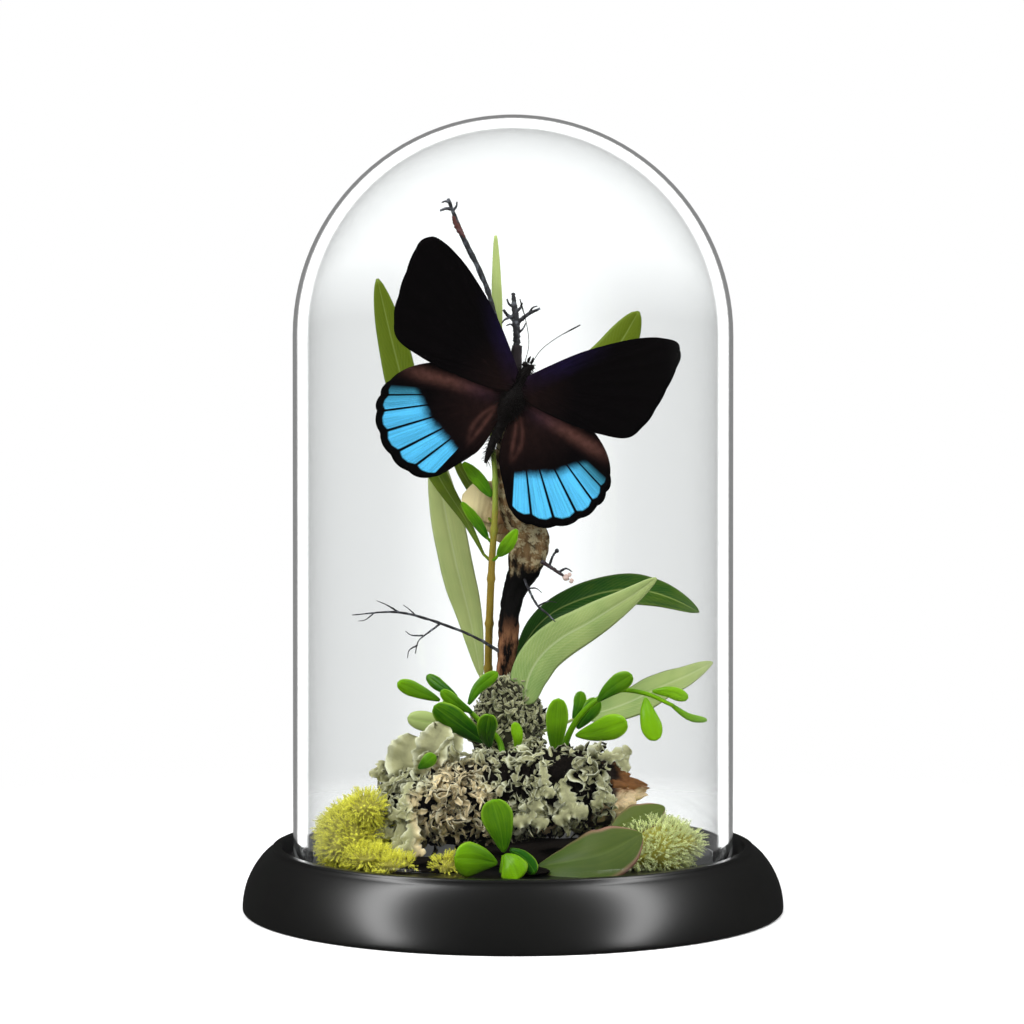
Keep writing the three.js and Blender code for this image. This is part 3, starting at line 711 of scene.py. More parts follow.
def glass_material(settings):
    """Blown soda-lime glass: clear and glossy, greyer where the eye looks along the wall. Lamps
    reach what stands inside it."""
    material, tree, place = new_material("Blown clear glass")
    wave = add(tree, "TexNoise", {"Vector": place, "Scale": 1 / (45 * MM), "Detail": 1.0})
    bump = add(tree, "Bump", {"Height": wave, "Strength": 0.1, "Distance": 0.1 * MM})
    clear = add(tree, "BsdfPrincipled", {
        "Base Color": srgb("#fdfefe"), "Roughness": 0.0, "IOR": 1.5, "Transmission Weight": 1.0,
        "Normal": bump,
    })
    lit = add(tree, "BsdfTransparent", {"Color": (0.93, 0.93, 0.93, 1)})
    path = add(tree, "LightPath")
    both = add(tree, "MixShader", [path.outputs["Is Shadow Ray"], clear, lit])
    absorb = add(tree, "VolumeAbsorption", {"Color": settings.tint, "Density": 60.0})
    add(tree, "OutputMaterial", {"Surface": both, "Volume": absorb})
    return material


def bark_material(settings):
    """Dry softwood bark in rough plates with black cracks; the broken end shows orange splintered
    wood, with its grain along the log."""
    material, tree, place = new_material("Dry bark and split wood")
    along = add(tree, "Mapping", {"Vector": place, "Scale": (0.35, 1, 1)})
    plates = add(tree, "TexNoise", {"Vector": along, "Scale": 1 / (4 * MM), "Detail": 6.0, "Roughness": 0.65})
    flakes = add(tree, "TexVoronoi", {"Vector": along, "Scale": 1 / (3.2 * MM)}, feature="DISTANCE_TO_EDGE")
    crack = add(tree, "MapRange", {"Value": flakes, "From Max": 0.16})
    bark = add(tree, "Mix", {"Factor": plates, MIX_A: settings.crack, MIX_B: settings.bark}, data_type="RGBA")
    bark = add(tree, "Mix", {"Factor": crack, MIX_A: settings.crack, MIX_B: bark}, data_type="RGBA")
    fibre = add(tree, "Mapping", {"Vector": place, "Scale": (0.08, 1, 1)})
    grain = add(tree, "TexNoise", {"Vector": fibre, "Scale": 1 / (0.7 * MM), "Detail": 4.0})
    height = add(tree, "SeparateXYZ", [place]).outputs["Z"]
    height = add(tree, "Math", [grain, 4 * MM, height], operation="MULTIPLY_ADD")
    rise = add(tree, "MapRange", {"Value": height, "From Min": 33.5 * MM, "From Max": 35 * MM})
    fresh = add(tree, "Mix", {
        "Factor": rise, MIX_A: settings.heartwood, MIX_B: srgb("#8a5a2c"),
    }, data_type="RGBA")
    shaded = add(tree, "MapRange", {
        "Value": grain, "From Min": 0.3, "From Max": 0.7, "To Min": 0.7, "To Max": 1.15,
    })
    wood = add(tree, "VectorMath", {0: fresh, "Scale": shaded}, operation="SCALE")
    split = add(tree, "Attribute", attribute_name="under")
    both = add(tree, "Mix", {"Factor": split.outputs["Fac"], MIX_A: bark, MIX_B: wood}, data_type="RGBA")
    height = add(tree, "Math", [plates, grain], operation="ADD")
    return finished(material, both, 0.85, height, 0.6, 0.5)


def branch_material():
    """Weathered branch: reddish bark low down, a charred black stretch, brown flaking bark with a
    grey bloom at the knot and above."""
    material, tree, place = new_material("Weathered branch bark")
    stretch = add(tree, "Mapping", {"Vector": place, "Scale": (1, 1, 0.3)})
    flake = add(tree, "TexNoise", {"Vector": stretch, "Scale": 1 / (2 * MM), "Detail": 6.0, "Roughness": 0.7})
    fine = add(tree, "TexNoise", {"Vector": place, "Scale": 1 / (2.2 * MM), "Detail": 6.0, "Roughness": 0.7})
    wander = add(tree, "Math", [flake, 12 * MM], operation="MULTIPLY")
    height = add(tree, "Math", [add(tree, "SeparateXYZ", [place]).outputs["Z"], wander], operation="ADD")
    low, high = (
        add(tree, "Mix", {
            "Factor": add(tree, "MapRange", {"Value": flake, "From Min": bare, "From Max": 0.62}),
            MIX_A: srgb(crack), MIX_B: srgb(bark),
        }, data_type="RGBA")
        for bare, crack, bark in ((0.42, "#0d0807", "#9a6a4a"), (0.38, "#120a06", "#866a48"))
    )
    charred = add(tree, "Mix", {
        "Factor": fine, MIX_A: srgb("#010101"), MIX_B: srgb("#100e0d"),
    }, data_type="RGBA")
    # the heights in mm between which one stretch gives way to the next
    at_char, at_high, at_top = (
        add(tree, "MapRange", {"Value": height, "From Min": start * MM, "From Max": end * MM})
        for start, end in ((76, 82), (92, 96), (128, 136))
    )
    bloom = add(tree, "MapRange", {"Value": fine, "From Min": 0.48, "From Max": 0.58, "To Max": 0.8})
    bloom = add(tree, "Math", [bloom, at_high], operation="MULTIPLY")
    # the bracket is cream at its edge and browner towards the wood, in fine growth rings
    shelf = add(tree, "Attribute", attribute_name="tone")
    chart = add(tree, "SeparateXYZ", [add(tree, "UVMap", uv_map="chart")])
    ring = add(tree, "Math", [fine, 0.12, chart.outputs["Y"]], operation="MULTIPLY_ADD")
    rings = add(tree, "Math", [ring, 60.0], operation="MULTIPLY")
    rings = add(tree, "Math", [rings], operation="SINE")
    edge = add(tree, "Math", [rings, 0.05, chart.outputs["Y"]], operation="MULTIPLY_ADD")
    edge = add(tree, "MapRange", {"Value": edge, "From Min": 0.15, "From Max": 0.75})
    bracket = add(tree, "Mix", {
        "Factor": edge, MIX_A: srgb("#9a744c"), MIX_B: srgb("#fbe9b4"),
    }, data_type="RGBA")
    body = low
    for share, over in (
        (at_char, charred), (at_high, high), (bloom, srgb("#beb18c")), (at_top, srgb("#3a3436")),
        (shelf.outputs["Fac"], bracket),
    ):
        body = add(tree, "Mix", {"Factor": share, MIX_A: body, MIX_B: over}, data_type="RGBA")
    return finished(material, body, 0.8, flake, 0.7, 0.5, **{"Specular IOR Level": 0.1})


def twig_material(settings):
    """Thin dry twigs: a nearly black skin with grey patches that are partly scuffs and partly painted
    highlights, a red-brown stretch and pale buds.
    """
    material, tree, place = new_material("Dry twig skin")
    mottle = add(tree, "TexNoise", {"Vector": place, "Scale": 1 / (1.6 * MM), "Detail": 4.0})
    # grey patches: partly scuffs, partly painted highlights
    grey_scuffs_and_highlights = add(tree, "MapRange", {"Value": mottle, "From Min": 0.5, "From Max": 0.7})
    tone = add(tree, "Attribute", attribute_name="tone")
    bud = add(tree, "MapRange", {"Value": tone.outputs["Fac"], "From Min": 0.8, "From Max": 1.0})
    skin = settings.twig
    for share, over in ((grey_scuffs_and_highlights, "#6f737b"), (tone.outputs["Fac"], "#6e332a"), (bud, "#dcc0b6")):
        skin = add(tree, "Mix", {"Factor": share, MIX_A: skin, MIX_B: srgb(over)}, data_type="RGBA")
    return finished(material, skin, 0.65, mottle, 0.5, 0.15)


def wing_material(settings):
    """Butterfly wing scales: velvety black that turns brown towards the root, with a blue band of
    overlapping scales between black veins on the hindwings."""
    material, tree, _ = new_material("Butterfly wing scales")
    veins = add(tree, "SeparateXYZ", [add(tree, "UVMap", uv_map="chart")])
    local = add(tree, "UVMap", uv_map="span")
    rough = add(tree, "TexNoise", {"Vector": local, "Scale": 26.0, "Detail": 5.0, "Roughness": 0.6})
    scales = add(tree, "TexNoise", {"Vector": local, "Scale": 170.0, "Detail": 2.0})
    # 0 on a vein, 1 in the middle of a cell
    cell = add(tree, "Math", [veins.outputs["X"]], operation="FRACT")
    mirror = add(tree, "Math", [1.0, cell], operation="SUBTRACT")
    inside = add(tree, "Math", [cell, mirror], operation="MINIMUM")
    vein = add(tree, "MapRange", {"Value": inside, "From Min": 0.045, "From Max": 0.085})
    # the band's outer edge is rounded in every cell, its inner edge fades
    bulge = add(tree, "MapRange", {"Value": inside, "From Max": 0.34, "To Min": 0.92, "To Max": 1.0})
    past = add(tree, "Math", [bulge, veins.outputs["Y"]], operation="SUBTRACT")
    outer = add(tree, "MapRange", {"Value": past, "From Min": -0.01, "From Max": 0.03})
    jitter = add(tree, "Math", [rough, 0.12, veins.outputs["Y"]], operation="MULTIPLY_ADD")
    inner = add(tree, "MapRange", {
        "Value": jitter, "From Min": -0.06, "From Max": 0.24,
    }, interpolation_type="SMOOTHSTEP")
    first = add(tree, "MapRange", {"Value": veins.outputs["X"], "From Min": 1.3, "From Max": 1.75})
    last = add(tree, "MapRange", {"Value": veins.outputs["X"], "From Min": 7.0, "From Max": 6.9})
    mask = vein
    for other in (outer, inner, first, last):
        mask = add(tree, "Math", [mask, other], operation="MULTIPLY")
    # blue of the band
    sparkle = add(tree, "MapRange", {
        "Value": scales, "From Min": 0.3, "From Max": 0.7, "To Min": 0.8, "To Max": 1.25,
    })
    rays = add(tree, "Mapping", {"Vector": add(tree, "UVMap", uv_map="chart"), "Scale": (11, 0.9, 1)})
    rays = add(tree, "TexNoise", {"Vector": rays, "Scale": 1.0, "Detail": 2.0})
    sparkle = add(tree, "Math", {
        0: sparkle, 1: add(tree, "MapRange", {
            "Value": rays, "From Min": 0.35, "From Max": 0.65, "To Min": 0.8, "To Max": 1.12,
        }),
    }, operation="MULTIPLY")
    ends = add(tree, "MapRange", {"Value": veins.outputs["X"], "From Min": 1.8, "From Max": 3.0})
    blue = add(tree, "Mix", {
        "Factor": ends, MIX_A: settings.band_edge, MIX_B: settings.band,
    }, data_type="RGBA")
    blue = add(tree, "VectorMath", {0: blue, "Scale": sparkle}, operation="SCALE")
    # brown streaks and folds, and a painted violet sheen along the front edges
    warm = add(tree, "Attribute", attribute_name="warm")
    violet = add(tree, "Attribute", attribute_name="violet")
    streaks = add(tree, "MapRange", {
        "Value": rough, "From Min": 0.3, "From Max": 0.7, "To Min": 0.55, "To Max": 1.0,
    })
    warmth = add(tree, "Math", [warm.outputs["Fac"], streaks], operation="MULTIPLY")
    painted_sheen = add(tree, "Math", [violet.outputs["Fac"], streaks], operation="MULTIPLY")
    painted_sheen = add(tree, "Math", [painted_sheen, 0.7], operation="MULTIPLY")
    body = settings.ground
    for share, over in ((warmth, settings.warm), (painted_sheen, srgb("#1c1238")), (mask, blue)):
        body = add(tree, "Mix", {"Factor": share, MIX_A: body, MIX_B: over}, data_type="RGBA")
    return finished(material, body, 0.85, scales, 0.25, 0.08, **{"Specular IOR Level": 0.03})


def insect_material():
    """Insect skin: black chitin under short brown-black hair."""
    material, tree, place = new_material("Black chitin and hair")
    mottle = add(tree, "TexNoise", {"Vector": place, "Scale": 1 / (0.8 * MM), "Detail": 4.0})
    skin = add(tree, "Mix", {
        "Factor": mottle, MIX_A: srgb("#040202"), MIX_B: srgb("#140c09"),
    }, data_type="RGBA")
    return finished(material, skin, 0.6, mottle, 0.3, 0.08, **{"Specular IOR Level": 0.15})


def leaf_material(name, main, deep, vein, rim, roughness, side_veins, shares):
    """A moulded or pressed leaf: a lighter midrib, slanting side veins, paler margins and an uneven
    blade. The chart runs across the leaf in x and from the stalk to the tip in y. shares says how
    far the midrib, the side veins and the margin take their own colours."""
    material, tree, place = new_material(name)
    rib_share, vein_share, rim_share = shares
    chart = add(tree, "SeparateXYZ", [add(tree, "UVMap", uv_map="chart")])
    off = add(tree, "Math", [chart.outputs["X"], 0.5], operation="SUBTRACT")
    off = add(tree, "Math", [off], operation="ABSOLUTE")
    rib = add(tree, "MapRange", {"Value": off, "From Min": 0.035, "From Max": 0.012, "To Max": rib_share})
    slant = add(tree, "Math", [off, -0.35, chart.outputs["Y"]], operation="MULTIPLY_ADD")
    rows = add(tree, "Math", [slant, side_veins], operation="MULTIPLY")
    rows = add(tree, "Math", [rows, 0.5], operation="PINGPONG")
    lines = add(tree, "MapRange", {"Value": rows, "From Min": 0.12, "From Max": 0.0, "To Max": vein_share})
    cloud = add(tree, "TexNoise", {"Vector": place, "Scale": 1 / (6 * MM), "Detail": 4.0})
    streaks = add(tree, "TexNoise", {
        "Vector": add(tree, "Mapping", {
            "Vector": add(tree, "UVMap", uv_map="chart"), "Scale": (18, 1.5, 1),
        }), "Scale": 1.0, "Detail": 3.0,
    })
    mixed = add(tree, "Math", [cloud, streaks], operation="ADD")
    tone = add(tree, "Attribute", attribute_name="tone")
    mixed = add(tree, "Math", [mixed, 0.7, tone.outputs["Fac"]], operation="MULTIPLY_ADD")
    mixed = add(tree, "Math", [chart.outputs["Y"], 0.5, mixed], operation="MULTIPLY_ADD")
    share = add(tree, "MapRange", {"Value": mixed, "From Min": 0.95, "From Max": 1.9})
    # the margin shows most towards the tip
    margin = add(tree, "MapRange", {"Value": off, "From Min": 0.4, "From Max": 0.49})
    ahead = add(tree, "MapRange", {
        "Value": chart.outputs["Y"], "From Min": 0.35, "From Max": 0.8,
        "To Min": 0.25 * rim_share, "To Max": rim_share,
    })
    margin = add(tree, "Math", [margin, ahead], operation="MULTIPLY")
    # a tone above one is a faded leaf
    faded = add(tree, "MapRange", {
        "Value": tone.outputs["Fac"], "From Min": 1.0, "From Max": 2.0, "To Max": 0.85,
    })
    marks = add(tree, "Math", [rib, lines], operation="MAXIMUM")
    body = deep
    for amount, over in ((share, main), (margin, rim), (faded, srgb("#b9c780")), (marks, vein)):
        body = add(tree, "Mix", {"Factor": amount, MIX_A: body, MIX_B: over}, data_type="RGBA")
    pore = add(tree, "TexNoise", {"Vector": place, "Scale": 1 / (0.5 * MM), "Detail": 2.0})
    relief = add(tree, "Math", [pore, 0.3, marks], operation="MULTIPLY_ADD")
    return finished(material, body, roughness, relief, 0.35, 0.12, **{"Specular IOR Level": 0.2})


def stem_material(settings):
    """Moulded polyethylene stem: yellow-green, darker and browner low down, a little waxy."""
    material, tree, place = new_material("Moulded plastic stem")
    split = add(tree, "SeparateXYZ", [place])
    streak = add(tree, "Mapping", {"Vector": place, "Scale": (1, 1, 0.1)})
    grain = add(tree, "TexNoise", {"Vector": streak, "Scale": 1 / (0.8 * MM), "Detail": 3.0})
    wander = add(tree, "Math", [grain, 30 * MM, split.outputs["Z"]], operation="MULTIPLY_ADD")
    rise = add(tree, "MapRange", {"Value": wander, "From Min": 105 * MM, "From Max": 125 * MM})
    body = add(tree, "Mix", {"Factor": rise, MIX_A: srgb("#a08628"), MIX_B: settings.stem}, data_type="RGBA")
    return finished(material, body, 0.5, grain, 0.3, 0.1)


def lichen_material(settings):
    """Dried foliose lichen: chalky grey-green lobes, cream ones along the middle of the log and pale floury
    rims. The nearly black colour of the crust, the lobes' undersides and their feet is painted shade."""
    material, tree, place = new_material("Dried foliose lichen")
    split = add(tree, "SeparateXYZ", [place])
    patch = add(tree, "TexNoise", {"Vector": place, "Scale": 1 / (9 * MM), "Detail": 3.0})
    speck = add(tree, "TexNoise", {"Vector": place, "Scale": 1 / (0.7 * MM), "Detail": 4.0})
    tone = add(tree, "Attribute", attribute_name="tone")
    under = add(tree, "Attribute", attribute_name="under")
    wander = add(tree, "Math", [patch, 20 * MM, split.outputs["X"]], operation="MULTIPLY_ADD")
    rise = add(tree, "MapRange", {"Value": wander, "From Min": -15 * MM, "From Max": -10 * MM})
    fall = add(tree, "MapRange", {"Value": wander, "From Min": 9 * MM, "From Max": 2 * MM})
    below = add(tree, "MapRange", {"Value": split.outputs["Z"], "From Min": 41 * MM, "From Max": 38 * MM})
    cream = add(tree, "Math", [rise, fall], operation="MULTIPLY")
    cream = add(tree, "Math", [cream, below], operation="MULTIPLY")
    top = add(tree, "Mix", {"Factor": cream, MIX_A: settings.grey, MIX_B: settings.cream}, data_type="RGBA")
    # edges and crests of the lobes are floury, their middles darker
    chart = add(tree, "SeparateXYZ", [add(tree, "UVMap", uv_map="chart")])
    off = add(tree, "Math", [chart.outputs["X"], 0.5], operation="SUBTRACT")
    off = add(tree, "Math", [off], operation="ABSOLUTE")
    rim = add(tree, "MapRange", {"Value": off, "From Min": 0.3, "From Max": 0.5, "To Max": 0.6})
    top = add(tree, "Mix", {"Factor": rim, MIX_A: top, MIX_B: srgb("#eceed6")}, data_type="RGBA")
    darker_middles = add(tree, "MapRange", {"Value": off, "From Max": 0.35, "To Min": 0.68})
    shade = add(tree, "Math", [speck, tone.outputs["Fac"]], operation="ADD")
    shade = add(tree, "MapRange", {
        "Value": shade, "From Min": 0.4, "From Max": 1.9, "To Min": 0.6, "To Max": 1.35,
    })
    shade = add(tree, "Math", [shade, darker_middles], operation="MULTIPLY")
    top = add(tree, "VectorMath", {0: top, "Scale": shade}, operation="SCALE")
    # painted shade: the crust, the lobes' undersides and their feet take this nearly black colour through the
    # under attribute
    dark = add(tree, "Mix", {
        "Factor": speck, MIX_A: settings.depth, MIX_B: srgb("#150e09"),
    }, data_type="RGBA")
    body = add(tree, "Mix", {"Factor": under.outputs["Fac"], MIX_A: top, MIX_B: dark}, data_type="RGBA")
    return finished(material, body, 0.95, speck, 0.5, 0.25, **{"Specular IOR Level": 0.1})


def moss_material(name, tip, depth):
    """Preserved moss: dyed and matt, bright at the tips of the shoots, with painted shade that makes it
    duller at their roots and on the ground between them.
    """
    material, tree, place = new_material(name)
    under = add(tree, "Attribute", attribute_name="under")
    tone = add(tree, "Attribute", attribute_name="tone")
    speck = add(tree, "TexNoise", {"Vector": place, "Scale": 1 / (4 * MM), "Detail": 3.0})
    shade = add(tree, "Math", [speck, tone.outputs["Fac"]], operation="ADD")
    shade = add(tree, "MapRange", {
        "Value": shade, "From Min": 0.4, "From Max": 1.5, "To Min": 0.95, "To Max": 1.4,
    })
    top = add(tree, "VectorMath", {0: tip[:3], "Scale": shade}, operation="SCALE")
    # painted shade: the roots and the ground between the shoots take the darker depth colour
    body = add(tree, "Mix", {"Factor": under.outputs["Fac"], MIX_A: top, MIX_B: depth}, data_type="RGBA")
    tufts = add(tree, "BsdfPrincipled", {"Base Color": body, "Roughness": 0.9, "Specular IOR Level": 0.2})
    add(tree, "OutputMaterial", {"Surface": tufts})
    return material


# ---------------- growth over a surface


def growth_tree():
    """Shapes stand all over a ground: they lean out of it and lie towards the growth direction."""
    tree = bpy.data.node_groups.new("growth over a surface", "GeometryNodeTree")
    for label, kind in (
        ("Ground", "NodeSocketGeometry"), ("Shapes", "NodeSocketCollection"), ("Spacing", "NodeSocketFloat"),
        ("Density", "NodeSocketFloat"), ("Smallest", "NodeSocketFloat"), ("Largest", "NodeSocketFloat"),
        ("Growth direction", "NodeSocketVector"), ("Stray", "NodeSocketFloat"), ("Seed", "NodeSocketInt"),
        ("Finish", "NodeSocketMaterial"),
    ):
        tree.interface.new_socket(label, in_out="INPUT", socket_type=kind)
    tree.interface.new_socket("Geometry", in_out="OUTPUT", socket_type="NodeSocketGeometry")
    given = add(tree, "NodeGroupInput").outputs
    share = add(tree, "GeometryNodeInputNamedAttribute", {"Name": "growth"}, data_type="FLOAT")
    spots = add(tree, "GeometryNodeDistributePointsOnFaces", {
        "Mesh": given["Ground"], "Distance Min": given["Spacing"], "Density Max": given["Density"],
        "Density Factor": share, "Seed": given["Seed"],
    }, distribute_method="POISSON")
    stray = add(tree, "FunctionNodeRandomValue", {
        0: (-1.0, -1.0, -1.0), 1: (1.0, 1.0, 1.0), "Seed": given["Seed"],
    }, data_type="FLOAT_VECTOR")
    away = add(tree, "VectorMath", {0: stray, "Scale": given["Stray"]}, operation="SCALE")
    lie = add(tree, "VectorMath", [away, given["Growth direction"]], operation="ADD")
    tilt = add(tree, "VectorMath", {0: away, "Scale": 0.35}, operation="SCALE")
    out = add(tree, "VectorMath", [spots.outputs["Normal"], tilt], operation="ADD")
    stand = add(tree, "FunctionNodeAlignRotationToVector", {"Vector": out}, axis="Z")
    turn = add(tree, "FunctionNodeAlignRotationToVector", {
        "Rotation": stand, "Vector": lie,
    }, axis="X", pivot_axis="Z")
    size = add(tree, "FunctionNodeRandomValue", {
        2: given["Smallest"], 3: given["Largest"], "Seed": given["Seed"],
    }, data_type="FLOAT")
    shapes = add(tree, "GeometryNodeCollectionInfo", {
        "Collection": given["Shapes"], "Separate Children": True, "Reset Children": True,
    })
    pick = add(tree, "FunctionNodeRandomValue", {4: 0, 5: 1000, "Seed": given["Seed"]}, data_type="INT")
    placed = add(tree, "GeometryNodeInstanceOnPoints", {
        "Points": spots.outputs["Points"], "Instance": shapes, "Pick Instance": True,
        "Instance Index": pick, "Rotation": turn, "Scale": size,
    })
    tone = add(tree, "FunctionNodeRandomValue", {2: 0.0, 3: 1.0, "Seed": 77}, data_type="FLOAT")
    marked = add(tree, "GeometryNodeStoreNamedAttribute", {
        "Geometry": placed, "Name": "tone", "Value": tone,
    }, data_type="FLOAT", domain="INSTANCE")
    joined = add(tree, "GeometryNodeJoinGeometry", [marked])
    tree.links.new(given["Ground"], joined.inputs[0])
    real = add(tree, "GeometryNodeRealizeInstances", [joined])
    finished = add(tree, "GeometryNodeSetMaterial", {"Geometry": real, "Material": given["Finish"]})
    add(tree, "NodeGroupOutput", [finished])
    return tree


def grow(ground, shapes, **inputs):
    """Covers the ground with shapes, and leaves one plain mesh."""
    tree = bpy.data.node_groups.get("growth over a surface") or growth_tree()
    store = bpy.data.collections.new(ground.name + " shapes")
    for i, shape in enumerate(shapes):
        sample = build(f"{ground.name}_shape_{i}", [shape], ground.data.materials[0])
        bpy.context.scene.collection.objects.unlink(sample)
        sample.data.attributes.remove(sample.data.attributes["tone"])
        store.objects.link(sample)
    values = {"Shapes": store, "Finish": ground.data.materials[0], **inputs}
    modifier = ground.modifiers.new("growth", "NODES")
    modifier.node_group = tree
    for item in tree.interface.items_tree:
        if item.in_out == "INPUT" and item.name in values:
            modifier[item.identifier] = values[item.name]
    depsgraph = bpy.context.evaluated_depsgraph_get()
    mesh = bpy.data.meshes.new_from_object(
        ground.evaluated_get(depsgraph), preserve_all_data_layers=True, depsgraph=depsgraph,
    )
    ground.modifiers.remove(modifier)
    ground.data = mesh
    for sample in list(store.objects):
        bpy.data.objects.remove(sample)
    bpy.data.collections.remove(store)
    if not len(mesh.polygons):
        raise RuntimeError(f"{ground.name}: nothing grew")


# ---------------- operators


class PieceOperator(bpy.types.Operator):
    """Shared by the operators that build one piece or one group of like pieces"""

    bl_options = {"REGISTER", "UNDO"}

    def execute(self, context):
        self.make(context.scene.insect_dome)
        return {"FINISHED"}


def arc(centre, radius, start, end, steps=6):
    """Points on an arc of a profile, with its angles in degrees."""
    angles = np.radians(np.linspace(start, end, steps))
    return [(centre[0] + radius * math.cos(a), centre[1] + radius * math.sin(a)) for a in angles]


class INSECTDOME_OT_base(PieceOperator):
    """Turn the lacquered base, with the groove that holds the glass"""

    bl_idname = "insect_dome.base"
    bl_label = "Turned Base"

    def make(self, settings):
        base = settings.base
        foot, rim, top = base.foot_radius / MM, base.rim_radius / MM, base.rim_height / MM
        outer, inner = base.groove_outer / MM, base.groove_inner / MM
        floor, middle = base.groove_height / MM, base.stage_height / MM
        edge = 0.8
        side = []
        for rise in np.linspace(0.04, 1, 22):
            swell = max(0.0, 1 - rise**2) ** 0.8
            side.append((rim + (foot - rim) * swell, edge + rise * (top - 2 * edge)))
        profile = [
            (0, 0), (foot - 2, 0),
            *arc((foot - edge, edge), edge, -90, 0),
            *side,
            *arc((rim - edge, top - edge), edge, 5, 90),
            (outer + 0.4, top), *arc((outer + 0.4, top - 0.4), 0.4, 90, 180, 4),
            (outer, floor + 0.4), (outer - 0.4, floor), (inner + 0.4, floor), (inner, floor + 0.4),
            *arc((inner - edge, middle - edge), edge, 0, 90),
            (inner - 2, middle), (0, middle),
        ]
        keep(build("base_turned", [lathe(profile, 192)], lacquer_material(base)), "lacquer", "base")


class INSECTDOME_OT_glass(PieceOperator):
    """Blow the glass dome, open at the bottom, with a fire-polished rim"""

    bl_idname = "insect_dome.glass"
    bl_label = "Glass Dome"

    def make(self, settings):
        glass = settings.glass
        radius, wall = glass.radius / MM, glass.wall / MM
        inner, centre, foot = radius - wall, glass.height / MM - radius, glass.foot / MM
        profile = [
            *reversed(arc((0, centre), inner, 0, 88.5, 28)),
            *[(inner, z) for z in np.linspace(centre - 4, foot + 6, 10)],
            *arc((radius - wall / 2, foot + wall / 2), wall / 2, 180, 360, 9),
            *[(radius, z) for z in np.linspace(foot + 6, centre - 4, 10)],
            *arc((0, centre), radius, 0, 88.5, 28), (0, centre + radius),
        ]
        profile.insert(0, (0, centre + inner))
        keep(build("dome_blown", [lathe(profile, 192)], glass_material(glass)), "glass", "glass_dome")


class INSECTDOME_OT_log(PieceOperator):
    """Shape the bark-covered log with its splintered right end"""

    bl_idname = "insect_dome.log"
    bl_label = "Log"

    def make(self, settings):
        def relief(angle, t):
            x, y = 2.2 * math.cos(angle), 2.2 * math.sin(angle)
            plates = 0.07 * wobble(x, y, 5 * t) + 0.035 * wobble(3 * x, 3 * y, 14 * t)
            return plates - 0.05 * max(0.0, wobble(5 * x, 5 * y, 3 * t))

        log = tube((LOG_FROM, LOG_TO), BARK_RADII, 84, 90, facing=UP, relief=relief)
        along = log.chart[:, 1]
        ends = np.clip((along - 0.86) / 0.14, 0, 1)
        axis = unit(np.subtract(LOG_TO, LOG_FROM))
        # the broken end: long splinters round a torn middle
        for i, share in enumerate(ends):
            if share > 0:
                x, y, z = log.points[i]
                tear = 1.8 * wobble(y / 3, z / 3, 1.5) + 0.9 * wobble(y / 1.1, z / 1.1, 4)
                log.points[i] += axis * tear * share
        split = np.clip((ends - 0.12 - 0.3 * np.array([wobble(*(p / 4)) for p in log.points])) * 6, 0, 1)
        shapes = [log._replace(under=split)]
        for k in range(SPLINTERS):
            angle = k * 2.4
            reach = 6.8 * math.sqrt((k + 0.5) / SPLINTERS)
            across, up = math.cos(angle), math.sin(angle)
            foot = np.array(BROKEN_END) + (-0.6 * reach, reach * across, reach * up)
            tip = foot + (3.4 + 0.8 * math.sin(3 * k) + max(0, 3 - k), -0.3 * across, -0.35 * up)
            splinter = tube((foot, (foot + tip) / 2, tip), (1.5, 1.2, 0.3), 8, 8, facing=UP)
            shapes.append(darkened(splinter))
        keep(build("log_bark", shapes, bark_material(settings.wood)), "bark", "log")


class INSECTDOME_OT_branch(PieceOperator):
    """Shape the upright branch, its knot and its twigs"""

    bl_idname = "insect_dome.branch"
    bl_label = "Branch and Twigs"

    def make(self, settings):
        def relief(angle, t):
            x, y = 1.6 * math.cos(angle), 1.6 * math.sin(angle)
            return 0.13 * wobble(x, y, 22 * t) + 0.09 * wobble(2.6 * x, 2.6 * y, 50 * t)

        branch = tube(BRANCH, BRANCH_RADII, 32, 150, relief=relief)
        shelves = [
            blade(path, lobe_half(width, (0.6, 0.85, 1, 1.05, 1, 0.8, 0.15)), 34, FRONT, 0.6,
                  cup=0.3, ruffle=0.2, ragged=0.07, seed=width, waves=3)
            for path, width in SHELF_LOBES
        ]
        bark = branch_material()
        keep(build("branch_wood", [branch, *shelves], bark, [0.0, 1.0, 1.0, 0.95]), "twig", "branch")

        def knobs(angle, t):
            return 0.25 * wobble(math.cos(angle), math.sin(angle), 26 * t)

        skin = twig_material(settings.wood)
        twigs = [tube(path, radii, 9, 40, relief=knobs) for path, radii in TWIGS.values()]
        tones = [0.0, 0.0, 0.0, 0.15, 0.0]
        for path, thick, thin in SHOOTS:
            twigs.append(tube(path, (thick, (thick + thin) / 2, thin), 8, 14, relief=knobs))
            tones.append(0.0)
        twigs.append(tube(RED_SKIN, (0.5, 0.86, 0.82, 0.5), 10, 16, relief=knobs))
        tones.append(0.7)
        for centre, radius, tone in BUDS:
            twigs.append(ball(centre, (radius, radius * 0.8, radius * 1.1), rough=0.35, seed=centre[0]))
            tones.append(tone)
        keep(build("branch_twigs", twigs, skin, tones), "twig", *TWIGS)


def cell_of(rays, veins):
    """A number that is whole on each vein and grows by one from vein to vein."""
    count = len(veins)
    return np.interp(-rays, -np.array(veins, float), np.arange(count), left=-0.5, right=count - 0.5)


